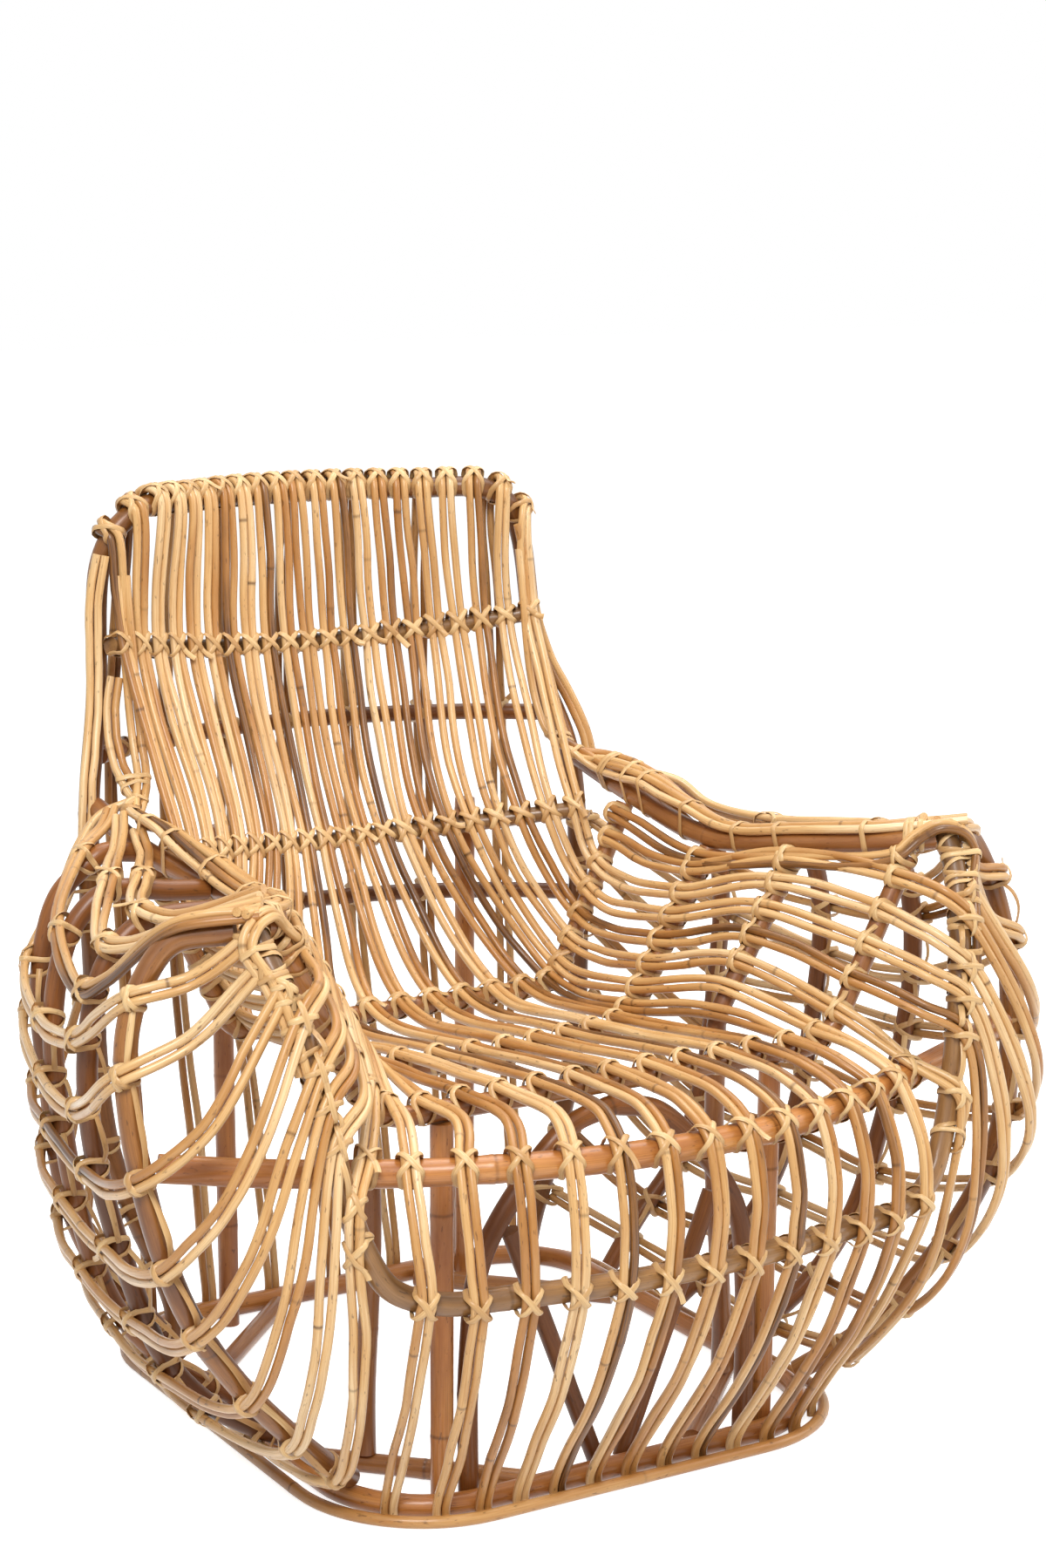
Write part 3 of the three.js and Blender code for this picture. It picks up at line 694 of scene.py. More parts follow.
RUSSET = RattanFinish(
    "russet_poles", "a96b33", "87501f", "5f3412", "351c08",
    spread=0.50, blotch=0.34, fleck=0.50, roughness=0.40, coat=0.14)
CANE = RattanFinish(
    "cane_bindings", "e6c894", "d6b07a", "b28550", "6a4321",
    spread=0.60, blotch=0.22, fleck=0.40, roughness=0.42, coat=0.18)


class Shop:
    """Turns drafts into finished pieces: meshes in their place, with a finish and a body to ride on."""

    smooth_angle = math.radians(52)
    unevenness = 0.012
    uneven_wave = 240.0
    knuckle_swell = 0.045
    ring_darkness = 0.8
    tones = (0.2, 0.7)
    grain_starts = 50
    pole_knuckles = (210.0, 420.0)
    pole_step = 18.0
    pole_bend = 7.0
    post_knuckles = (150.0, 260.0)
    post_step = 45.0
    first_side = vec(0.31, 0.87, 0.39)

    def __init__(self, shift: float) -> None:
        """Starts with no finish made yet.

        Args:
            shift: How far the chair is moved along Y so that its origin is in the middle, in metres.
        """
        self.shift = shift
        self.materials: dict[RattanFinish, bpy.types.Material] = {}

    def hand_over(self, piece: bpy.types.Object, finish: RattanFinish, node: str = "") -> None:
        """Gives a piece its finish and its body, and hides the CAD node that it stands for.

        Args:
            piece: The finished object.
            finish: Its finish.
            node: The CAD node that it replaces, if any.
        """
        if finish not in self.materials:
            self.materials[finish] = finish.material()
        piece.data.materials.append(self.materials[finish])
        bpy.ops.object.select_all(action="DESELECT")
        piece.select_set(True)
        bpy.context.view_layer.objects.active = piece
        bpy.ops.object.shade_smooth_by_angle(angle=self.smooth_angle)
        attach(piece, "root")
        if node:
            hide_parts(node)
        LOG.info("%s: %d faces", piece.name, len(piece.data.polygons))

    def deliver(self, draft: Draft, name: str, finish: RattanFinish, node: str = "") -> None:
        """Makes a piece from a draft.

        Args:
            draft: The piece's surfaces.
            name: The piece's name.
            finish: Its finish.
            node: The CAD node that it replaces, if any.
        """
        mesh = bpy.data.meshes.new(name)
        points = np.concatenate(draft.vertices) * MM + np.array([0.0, self.shift, 0.0])
        mesh.from_pydata(points.tolist(), [], draft.faces)
        grain, tone, ring = [np.concatenate(rows) for rows in (draft.grain, draft.tone, draft.ring)]
        self.mark(mesh, grain * MM, tone, ring)
        self.hand_over(linked(name, mesh), finish, node)

    def mark(self, mesh: bpy.types.Mesh, grain: Array, tone: Array, ring: Array) -> None:
        """Writes the grain, tone and rings that the rattan finish reads onto a mesh.

        Args:
            mesh: The mesh.
            grain: Each vertex's place in the straightened rod, in metres.
            tone: How dark each vertex's rod is.
            ring: How near each vertex is to a knuckle.
        """
        for name, kind, key, values in (
            ("grain", "FLOAT_VECTOR", "vector", grain),
            ("tone", "FLOAT", "value", tone),
            ("ring", "FLOAT", "value", ring),
        ):
            layer = mesh.attributes.new(name, kind, "POINT")
            layer.data.foreach_set(key, np.ascontiguousarray(values, dtype=np.float32).ravel())

    def girth(self, rng: Rng, s: Array, swell: Array) -> Array:
        """How thick a pole is at distances along it, as a share of its thickness.

        Args:
            rng: Random numbers of this pole.
            s: Distances along it.
            swell: How much it swells there.

        Returns:
            The shares.
        """
        return 1 + self.unevenness * Waver(rng, self.uneven_wave)(s) + self.knuckle_swell * swell

    def pole(self, name: str, pole: Pole, finish: RattanFinish, closed: bool = False) -> None:
        """Makes a bent pole with its knuckles and unevenness, in place of the CAD node of that name.

        Args:
            name: The CAD node's name.
            pole: The pole's line and thickness.
            finish: Its finish.
            closed: Whether the pole is a ring.
        """
        rng = seeded(name)
        draft = Draft()
        line = pole.line
        knuckles = Knuckles(rng, line.length, *self.pole_knuckles)
        s = knuckles.distances(line.spread(self.pole_step, self.pole_bend))
        if closed:
            s = s[:-1]
        swell, ring = knuckles.swelling(s)
        scale = pole.diameter / 2 * self.girth(rng, s, swell)
        ways = line.way(s)
        out = np.empty_like(ways)
        side = self.first_side
        for i, way in enumerate(ways):
            side = square_to(way, side)
            out[i] = side
        along = s + GRAIN_STEP * rng.integers(0, self.grain_starts)
        tone = rng.uniform(*self.tones)
        draft.sweep(line.at(s), out, POLE_SECTION, scale, along, tone, self.ring_darkness * ring, closed)
        self.deliver(draft, name + "_pole", finish, name)

    def post(self, name: str, foot: Array, top: Array, diameter: float, finish: RattanFinish) -> None:
        """Makes a straight post, extruded step by step, in place of the CAD node of that name.

        Args:
            name: The CAD node's name.
            foot: Middle of its lower end.
            top: Middle of its upper end.
            diameter: Its thickness.
            finish: Its finish.
        """
        rng = seeded(name)
        length = float(np.linalg.norm(top - foot))
        knuckles = Knuckles(rng, length, *self.post_knuckles)
        s = knuckles.distances(np.linspace(0.0, length, max(3, round(length / self.post_step))))
        swell, ring = knuckles.swelling(s)
        widths = self.girth(rng, s, swell) * diameter / 2 * MM
        bpy.ops.object.select_all(action="DESELECT")
        bpy.ops.mesh.primitive_circle_add(vertices=POLE_SIDES, radius=widths[0], fill_type="NGON")
        piece = bpy.context.object
        piece.name = name + "_pole"
        bpy.ops.object.mode_set(mode="EDIT")
        bpy.ops.mesh.select_all(action="SELECT")
        for i in range(1, len(s)):
            step = (0, 0, (s[i] - s[i - 1]) * MM)
            bpy.ops.mesh.extrude_region_move(TRANSFORM_OT_translate={"value": step})
            growth = widths[i] / widths[i - 1]
            bpy.ops.transform.resize(value=(growth, growth, 1))
        bpy.ops.mesh.select_all(action="SELECT")
        bpy.ops.mesh.normals_make_consistent(inside=False)
        bpy.ops.object.mode_set(mode="OBJECT")
        mesh = piece.data
        local = np.empty(len(mesh.vertices) * 3, dtype=np.float32)
        mesh.vertices.foreach_get("co", local)
        local = local.reshape(-1, 3)
        rings = self.ring_darkness * np.interp(local[:, Z] / MM, s, ring)
        offset = vec(0, 0, float(rng.integers(0, self.grain_starts)))
        self.mark(mesh, local + offset, np.full(len(local), rng.uniform(*self.tones)), rings)
        turn = Vector((0, 0, 1)).rotation_difference(Vector(top - foot)).to_matrix().to_4x4()
        place = Matrix.Translation(Vector(foot * MM) + Vector((0, self.shift, 0)))
        mesh.transform(place @ turn)
        self.hand_over(piece, finish, name)


@dataclass
class BaseFrame:
    """The ring on the floor, the edge rod round it and the four corner braces inside it."""

    half_width: float = 268.0
    front_y: float = -241.0
    rear_y: float = 335.0
    front_radius: float = 110.0
    rear_radius: float = 90.0
    edge_gap: float = 0.6
    front_brace_reach: float = 320.0
    rear_brace_reach: float = 404.0

    def outline(self, grow: float, z: float) -> Line:
        """The ring's rounded outline.

        Args:
            grow: How far outside the ring's centre line.
            z: Height above the floor.

        Returns:
            A line that ends where it starts.
        """
        corners = (
            (1, 1, self.rear_y, self.rear_radius), (-1, 1, self.rear_y, self.rear_radius),
            (-1, -1, self.front_y, self.front_radius), (1, -1, self.front_y, self.front_radius),
        )
        points = []
        for quarter, (sx, sy, y, radius) in enumerate(corners):
            for angle in (quarter + np.linspace(0, 1, 13)) * math.pi / 2:
                reach = radius + grow
                points.append(vec(
                    sx * (self.half_width - radius) + reach * math.cos(angle),
                    y - sy * radius + reach * math.sin(angle), z,
                ))
        return Line(points + points[:1])

    def beside(self, x: float, end: int, distance: float) -> tuple[Array, Array]:
        """A point beside the ring's front or rear.

        Args:
            x: Where across the chair.
            end: -1 for the front, 1 for the rear.
            distance: How far outside the ring's centre line.

        Returns:
            The point on the floor, and the way that the ring faces there.
        """
        radius = self.front_radius if end < 0 else self.rear_radius
        edge = self.front_y if end < 0 else self.rear_y
        reach = radius + distance
        over = max(abs(x) - (self.half_width - radius), 0.0)
        drop = math.sqrt(reach * reach - over * over)
        face = vec(math.copysign(over, x) / reach, end * drop / reach, 0.0)
        return vec(x, edge - end * radius + end * drop, 0.0), face

    def nail_outside(self, x: float, end: int) -> tuple[Array, Array]:
        """Where a strand is nailed to the ring's outer side, and the way it faces."""
        return self.beside(x, end, GAUGE.pole / 2 + GAUGE.nail_gap + GAUGE.rod / 2)

    def stand_inside(self, x: float, end: int, diameter: float) -> Array:
        """Where a post stands against the ring's inner side."""
        return self.beside(x, end, -GAUGE.pole / 2 - GAUGE.nail_gap - diameter / 2)[0]

    def build(self, shop: Shop) -> None:
        """Makes the ring, the edge rod and the braces.

        Args:
            shop: Where the pieces are made.
        """
        shop.pole("base_ring", Pole(self.outline(0.0, GAUGE.pole / 2), GAUGE.pole), HONEY, True)
        edge = GAUGE.pole / 2 + GAUGE.nail_gap + GAUGE.rod + self.edge_gap + GAUGE.edge_rod / 2
        rod = Pole(self.outline(edge, GAUGE.edge_rod / 2), GAUGE.edge_rod)
        shop.pole("base_edge_rod", rod, STRAW, True)
        setback = GAUGE.pole / 2 + GAUGE.nail_gap + GAUGE.rib / 2 * COS_45
        side_x = self.half_width - setback
        front_y = self.front_y + setback
        rear_y = self.rear_y - setback
        z = GAUGE.rib / 2
        for side in Side:
            flip = side.flip
            reach = self.front_brace_reach
            shop.post(f"floor_brace_front_{side.label}", vec(side_x, side_x - reach, z) * flip,
                      vec(reach + front_y, front_y, z) * flip, GAUGE.rib, TAN)
            reach = self.rear_brace_reach
            shop.post(f"floor_brace_rear_{side.label}", vec(side_x, reach - side_x, z) * flip,
                      vec(reach - rear_y, rear_y, z) * flip, GAUGE.rib, TAN)


BASE = BaseFrame()


@dataclass(frozen=True)
class SeatRib:
    """A U-shaped rib: across the seat, round a bend and up the arm. s runs from its middle outwards."""

    name: str
    y: float
    bow: float
    z: float
    corner: float
    lean: float
    radius: float
    rail_z: float
    seat_pitch: float
    on_seat: int
    arm_pitch: float
    step: float = 7.0

    @property
    def turn(self) -> float:
        """Angle of the bend between the seat and the arm."""
        return math.pi / 2 - math.radians(self.lean)

    @property
    def flat(self) -> float:
        """Length of the straight half across the seat."""
        return self.corner - self.radius * math.tan(self.turn / 2)

    @property
    def arm_s(self) -> float:
        """Where the straight stretch up the arm starts."""
        return self.flat + self.radius * self.turn

    def at(self, s: float) -> tuple[Array, Array]:
        """The rib's centre at a distance from its middle, and the way its upper side faces.

        Args:
            s: Distance along the rib.

        Returns:
            The point and the direction.
        """
        angle = min(max((s - self.flat) / self.radius, 0.0), self.turn)
        rise = max(0.0, s - self.arm_s)
        x = min(s, self.flat) + self.radius * math.sin(angle) + rise * math.cos(self.turn)
        z = self.z + self.radius * (1 - math.cos(angle)) + rise * math.sin(self.turn)
        y = self.y - self.bow * max(0.0, 1 - (x / self.corner) ** 2)
        return vec(x, y, z), vec(-math.sin(angle), 0.0, math.cos(angle))

    @property
    def rail(self) -> Array:
        """Where the rib meets the arm rail's centre line."""
        start = self.at(self.arm_s)[0]
        return self.at(self.arm_s + (self.rail_z - start[Z]) / math.sin(self.turn))[0]

    def tie(self, k: int) -> float:
        """Where strand k crosses the rib."""
        return self.seat_pitch * min(k, self.on_seat) + self.arm_pitch * max(0, k - self.on_seat)

    def spot(self, s: float) -> Spot:
        """The rib's place and direction at a distance from its middle."""
        before, after = self.at(max(s - 1.0, 0.0))[0], self.at(s + 1.0)[0]
        return Spot(self.at(s)[0], unit(after - before), GAUGE.rib / 2)

    def end(self, rail: Pole) -> Array:
        """Where the rib stops under the arm rail."""
        spot = rail.spot(Y, self.rail[Y])
        return butt(self.at(self.arm_s)[0], self.rail, spot.along, GAUGE.rib)

    def build(self, shop: Shop, rail: Pole) -> None:
        """Makes the rib, from one arm rail to the other.

        Args:
            shop: Where the pieces are made.
            rail: The right arm rail.
        """
        points = [self.at(s)[0] for s in np.arange(0.0, self.arm_s, self.step)]
        points += [self.at(self.arm_s)[0], self.end(rail)]
        shop.pole(self.name, Pole(Line(points), GAUGE.rib).both_sides(), TAN)


@dataclass
class Seat:
    """The four ribs that carry the seat and the inner sides of the arms."""

    rear: SeatRib = SeatRib(
        "seat_rear_rib", y=198, bow=0, z=367, corner=195, lean=25, radius=40, rail_z=572,
        seat_pitch=37.5, on_seat=5, arm_pitch=29)
    middle: SeatRib = SeatRib(
        "seat_middle_rib", y=15, bow=34, z=370, corner=169, lean=29.5, radius=40, rail_z=556,
        seat_pitch=37.3, on_seat=4, arm_pitch=27)
    arm: SeatRib = SeatRib(
        "arm_rib", y=-100, bow=0, z=381, corner=190, lean=30, radius=40, rail_z=570,
        seat_pitch=42, on_seat=5, arm_pitch=29)
    front: SeatRib = SeatRib(
        "seat_front_rib", y=-212, bow=0, z=392, corner=256, lean=26.8, radius=60, rail_z=587,
        seat_pitch=41, on_seat=6, arm_pitch=36)

    def build(self, shop: Shop, rail: Pole) -> None:
        """Makes the three ribs that run right across the seat."""
        for rib in (self.rear, self.middle, self.front):
            rib.build(shop, rail)


SEAT = Seat()


@dataclass(frozen=True)
class Bow:
    """The line of a bar: its depth, height and half width, and how far its ends lie behind and above."""

    y: float
    z: float
    half: float
    bow: float
    rise: float

    def at(self, x: float) -> Array:
        """The bar's point at a distance from the chair's middle."""
        share = (x / self.half) ** 2
        return vec(x, self.y + self.bow * share, self.z + self.rise * share)

    def points(self, shares: Sequence[float]) -> list[Array]:
        """The bar's points at given shares of its half width."""
        return [self.at(self.half * share) for share in shares]


@dataclass
class Back:
    """The back hoop with its two bars, the two rails behind it and the rear posts."""

    top: Bow = Bow(429.0, 891.0, 205.0, -65.5, -2.0)
    upright_x: float = 253.0
    flare: float = 46.0
    upper: Bow = Bow(405.0, 730.0, 256.0, -66.0, 24.0)
    lower: Bow = Bow(327.0, 526.0, 250.0, -100.0, 27.0)
    rear_upper: Bow = Bow(438.0, 640.0, 228.0, -60.0, 0.0)
    rear_lower: Bow = Bow(430.0, 437.0, 245.0, -75.0, 0.0)
    bar_samples: int = 41
    post_x: float = 150.0
    post_height: float = 560.0

    def hoop_half(self) -> Pole:
        """The right half of the back hoop, from the middle of its top bar down to its foot.

        Returns:
            The half hoop.
        """
        foot_reach = (BASE.rear_radius - GAUGE.pole - GAUGE.butt_gap) * COS_45
        foot_x = BASE.half_width - BASE.rear_radius + foot_reach
        foot_y = BASE.rear_y - BASE.rear_radius + foot_reach
        flare_x = self.upright_x + self.flare
        return Pole(smooth(self.top.points((0.0, 0.34, 0.68, 1.0)) + [
            vec(self.upright_x - 17, 361, self.top.z - 22),
            vec(self.upright_x, 366, self.top.z - 58),
            vec(self.upright_x + 15, 352, 694),
            vec(flare_x - 7, 323, 598),
            vec(flare_x, 312, 450),
            vec(flare_x - 10, 306, 230),
            vec(foot_x, foot_y, GAUGE.pole + 18),
            vec(foot_x, foot_y, GAUGE.floor_gap),
        ]), GAUGE.pole)

    def bar(self, bow: Bow, upright: Pole | None = None) -> Pole:
        """A bowed bar across the back.

        Args:
            bow: The bar's line.
            upright: The hoop that both ends run on to, if they do.

        Returns:
            The bar.
        """
        points = [bow.at(x) for x in np.linspace(-bow.half, bow.half, self.bar_samples)]
        if upright is not None:
            spot = upright.spot(Z, bow.z)
            end = butt(points[-1], spot.point, spot.along, GAUGE.pole)
            points = [end * MIRROR, *points, end]
        return Pole(Line(points), GAUGE.bar)

    def build(self, shop: Shop) -> None:
        """Makes the hoop, the bars, the rails and the rear posts.

        Args:
            shop: Where the pieces are made.
        """
        half = self.hoop_half()
        shop.pole("back_hoop", half.both_sides(), UMBER)
        shop.pole("upper_back_bar", self.bar(self.upper), OLIVE)
        shop.pole("lower_back_bar", self.bar(self.lower), OLIVE)
        shop.pole("rear_upper_rail", self.bar(self.rear_upper, half), RUSSET)
        shop.pole("rear_lower_rail", self.bar(self.rear_lower, half), RUSSET)
        for side in Side:
            stand = BASE.stand_inside(self.post_x, 1, GAUGE.pole) * side.flip
            shop.post(f"rear_post_{side.label}", stand + vec(0, 0, GAUGE.floor_gap),
                      stand + vec(0, 0, self.post_height), GAUGE.pole, HONEY)


BACK = Back()


@dataclass
class Front:
    """The front seat rail, the front hoop, the leg arch and what stands under the front rib."""

    rail: Bow = Bow(-362.0, 371.0, 270.0, 72.0, -3.0)
    rail_joint_z: float = 388.0
    rail_near: Place = (380.0, -251.0, 375.0)
    lower_rail: Bow = Bow(-374.0, 257.0, 280.0, 43.0, 2.0)
    hoop_top: Place = (382.0, -226.0, 595.0)
    hoop_end: float = 20.0
    arch_half_width: float = 159.0
    arch_shoulder_z: float = 240.0
    post_x: float = 185.0
    brace_foot_x: float = 14.0
    brace_top_z: float = 284.0

    def hoop_half(self) -> Pole:
        """The right half of the front hoop, from the middle of the lower rail to the arm's front.

        Returns:
            The half hoop.
        """
        return Pole(smooth(self.lower_rail.points((0.0, 0.33, 0.66, 0.92)) + [
            vec(299, -324, 275), vec(320, -315, 310), vec(335, -307, 360), vec(345, -300, 410),
            vec(356, -288, 475), vec(364, -274, 520), vec(376, -250, 562), vec(*self.hoop_top),
        ]), GAUGE.pole)

    def hoop_joint(self) -> tuple[Array, Array]:
        """Where the corner pole and the arm rail meet the hoop, and the way the hoop runs there.

        Returns:
            The point and the direction.
        """
        line = self.hoop_half().line
        rise = unit(line.at(line.length) - line.at(line.length - self.hoop_end))
        return vec(*self.hoop_top) - rise * GAUGE.pole / 4, rise

    def rail_half(self, corner: Pole) -> Pole:
        """The right half of the front seat rail, from its middle to the corner pole.

        Args:
            corner: The right corner pole.

        Returns:
            The half rail.
        """
        near = vec(*self.rail_near)
        joint = corner.spot(Z, self.rail_joint_z)
        end = butt(near, joint.point, joint.along, 1.25 * GAUGE.front_rail)
        points = self.rail.points((0.0, 0.25, 0.5, 0.75, 1.0))
        return Pole(smooth([*points, near, end]), GAUGE.front_rail)

    def arch_half(self) -> Pole:
        """The right half of the leg arch, from its top to the floor.

        Returns:
            The half arch.
        """
        w = self.arch_half_width
        y = BASE.stand_inside(w, -1, GAUGE.rib)[Y]
        top = SEAT.front.z - GAUGE.rib - GAUGE.butt_gap
        return Pole(smooth([
            vec(0, y, top), vec(w * 0.31, y, top - 13), vec(w * 0.66, y, (top + self.arch_shoulder_z) / 2),
            vec(w * 0.92, y, self.arch_shoulder_z), vec(w, y, self.arch_shoulder_z * 0.6),
            vec(w, y, GAUGE.floor_gap),
        ]), GAUGE.rib)

    def build(self, shop: Shop, corner: Pole) -> None:
        """Makes the rail, the hoop, the arch, the front posts and the slanted braces.

        Args:
            shop: Where the pieces are made.
            corner: The right corner pole.
        """
        shop.pole("front_hoop", self.hoop_half().both_sides(), OLIVE)
        shop.pole("front_rail", self.rail_half(corner).both_sides(), HONEY)
        arch = self.arch_half()
        shop.pole("front_leg_arch", arch.both_sides(), RUSSET)
        joint = arch.spot(Z, self.brace_top_z)
        foot = vec(self.brace_foot_x, BASE.stand_inside(0, -1, GAUGE.bar)[Y], GAUGE.bar / 2)
        top = butt(foot, joint.point, joint.along, GAUGE.bar)
        post_top = SEAT.front.z - GAUGE.rib / 2 - GAUGE.butt_gap
        for side in Side:
            flip = side.flip
            stand = BASE.stand_inside(self.post_x, -1, GAUGE.pole) * flip
            shop.post(f"front_post_{side.label}", stand + vec(0, 0, GAUGE.floor_gap),
                      stand + vec(0, 0, post_top), GAUGE.pole, HONEY)
            shop.post(f"front_brace_{side.label}", foot * flip, top * flip, GAUGE.bar, RUSSET)


FRONT = Front()


@dataclass
class Arm:
    """One arm's rail, its corner pole, its leg with the inner rib, and the three outer side poles."""

    side_y: Row = (-72.0, 58.0, 188.0)
    side_bulge: Row = (473.0, 451.0, 410.0)
    fullness: Row = (0.0, 10.0, 16.0)
    right_drop: Row = (8.0, 26.0, 0.0)
    side_labels: tuple[str, ...] = ("front", "middle", "rear")
    foot_z: float = 31.0
    rail_joint_z: float = 598.0

    def corner_pole(self) -> Pole:
        """The pole at the arm's outer front corner, on the right side.

        Returns:
            The pole.
        """
        near = vec(440, -191, 578)
        joint, rise = FRONT.hoop_joint()
        return Pole(smooth([
            butt(near, joint, rise, GAUGE.pole), near, vec(467, -186, 545), vec(485, -190, 500),
            vec(491, -204, 438), vec(488, -214, 388), vec(476, -228, 316), vec(453, -236, 248),
            vec(408, -234, 178), vec(358, -226, 120), vec(312, -208, 74),
            vec(BASE.half_width - 6, -172, self.foot_z),
        ]), GAUGE.pole)

    def rail(self) -> Pole:
        """The arm rail on the right side, from the upright to the front hoop.

        Returns:
            The rail.
        """
        joint, rise = FRONT.hoop_joint()
        upright = BACK.hoop_half().spot(Z, self.rail_joint_z)
        points = [rib.rail for rib in (SEAT.rear, SEAT.middle, SEAT.arm, SEAT.front)]
        start = butt(points[0], upright.point, upright.along, GAUGE.pole)
        return Pole(smooth([start, *points, butt(points[-1], joint, rise, GAUGE.pole)]), GAUGE.pole)

    def side_pole(self, index: int, rail: Pole, side: Side) -> Pole:
        """One of a side's outer poles, drawn on the right, from the arm rail to the base ring.

        Args:
            index: Which pole, counted from the front.
            rail: The arm rail on the right side.
            side: The side that it belongs to, because the right arm's poles bend lower at their tops.

        Returns:
            The pole.
        """
        drop = self.right_drop[index] if side is Side.RIGHT else 0.0
        y, b = self.side_y[index], self.side_bulge[index]
        low = b + self.fullness[index]
        spot = rail.spot(Y, y)
        near = vec(spot.point[X] + 48, y, spot.point[Z] + 4 - 0.5 * drop)
        return Pole(smooth([
            butt(near, spot.point, spot.along, GAUGE.rib), near,
            vec(b - 59, y, 567 - drop), vec(b - 25, y, 539 - 0.6 * drop),
            vec(b - 8, y, 497 - 0.25 * drop), vec(b, y, 433), vec(b - 5, y, 357),
            vec(low - 36, y, 231), vec(low - 68, y, 147), vec(low - 122, y, 82),
            vec(BASE.half_width, y, self.foot_z),
        ]), GAUGE.rib)

    def leg(self, rail: Pole) -> Pole:
        """The inner rib of the right arm, which runs down into a leg on the floor brace.

        Args:
            rail: The right arm rail.

        Returns:
            The rib with its leg.
        """
        x = BASE.front_brace_reach / 2 + 50
        foot = vec(x, x - BASE.front_brace_reach, GAUGE.rib + GAUGE.butt_gap)
        knee = SEAT.arm.at(SEAT.arm.arm_s)[0]
        line = smooth([foot, foot + vec(0, 0, 60), vec(knee[X] - 2, knee[Y] - 5, knee[Z] * 0.62), knee])
        return Pole(Line([*line.points, SEAT.arm.end(rail)]), GAUGE.rib)

    def build(self, shop: Shop) -> None:
        """Makes both arms' poles.

        Args:
            shop: Where the pieces are made.
        """
        rail = self.rail()
        corner = self.corner_pole()
        leg = self.leg(rail)
        for side in Side:
            shop.pole(f"arm_rail_{side.label}", rail.placed(side), TAN)
            shop.pole(f"corner_pole_{side.label}", corner.placed(side), AMBER)
            shop.pole(f"arm_rib_{side.label}", leg.placed(side), TAN)
            for index, label in enumerate(self.side_labels):
                pole = self.side_pole(index, rail, side)
                shop.pole(f"side_pole_{label}_{side.label}", pole.placed(side), RUSSET)


ARM = Arm()


@dataclass
class Station:
    """A point of a strand's middle, the way the strand faces there, and the pole that it is bound to."""

    point: Array
    face: Array
    spot: Spot | None = None
    style: TieStyle = TieStyle.CROSS
    offset: float = 0.0

    def mirrored(self) -> "Station":
        """The same station on the left side."""
        spot = self.spot and Spot(self.spot.point * MIRROR, self.spot.along * MIRROR, self.spot.radius)
        return Station(self.point * MIRROR, self.face * MIRROR, spot, self.style, self.offset)


def on(spot: Spot, way: Array, style: TieStyle = TieStyle.CROSS, gap: float = GAUGE.tie_gap) -> Station:
    """A station on a pole, bound to it.

    Args:
        spot: The place on the pole.
        way: The side of the pole that the strand lies on.
        style: How it is bound.
        gap: Gap between the pole and the strand.

    Returns:
        The station.
    """
    face = unit(way)
    return Station(spot.point + face * (spot.radius + gap + GAUGE.rod / 2), face, spot, style)


def turned(spot: Spot, faces: Sequence[Array], tied: int, style: TieStyle = TieStyle.CROSS) -> list[Station]:
    """Stations of a strand that turns round a pole.

    Args:
        spot: The place on the pole.
        faces: The sides of the pole that it passes in turn.
        tied: Which of them is bound.
        style: How it is bound.

    Returns:
        The stations.
    """
    turns = [math.acos(min(1.0, float(np.dot(a, b)))) for a, b in zip(faces, faces[1:])]
    reach = (spot.radius + GAUGE.tie_gap + GAUGE.rod / 2) / math.cos(max(turns) / 2)
    return [Station(spot.point + face * reach, face, spot if i == tied else None, style)
            for i, face in enumerate(faces)]


@dataclass(frozen=True)
class RodHabit:
    """How the rods of a strand stray between their bindings, vary, stain and take painted shade on the
    chair's rear, with lengths in millimetres.
    """

    knuckles: Pair = (240.0, 620.0)
    step: float = 16.0
    bend: float = 9.0
    hold: float = 70.0
    closeness: float = 0.15
    parting: float = 1.1
    parting_wave: float = 420.0
    roam: float = 2.4
    roam_wave: float = 520.0
    lift: float = 1.1
    lift_wave: float = 380.0
    heave: float = 0.9
    heave_wave: float = 460.0
    girth: float = 1.02
    girth_change: float = 0.035
    girth_wave: float = 500.0
    knuckle_swell: float = 0.07
    strand_shade: float = 0.55
    shade_power: float = 1.4
    rod_shade: float = 0.26
    # painted shade: rods are drawn darker on the chair's rear, standing in for the shadow behind the back
    rear_shade: float = 0.3
    stain_share: float = 0.3
    stain_shade: float = 0.75
    stain_lengths: Pair = (40.0, 190.0)
    darkest: float = 1.25
    grain_starts: int = 90


HABIT = RodHabit()


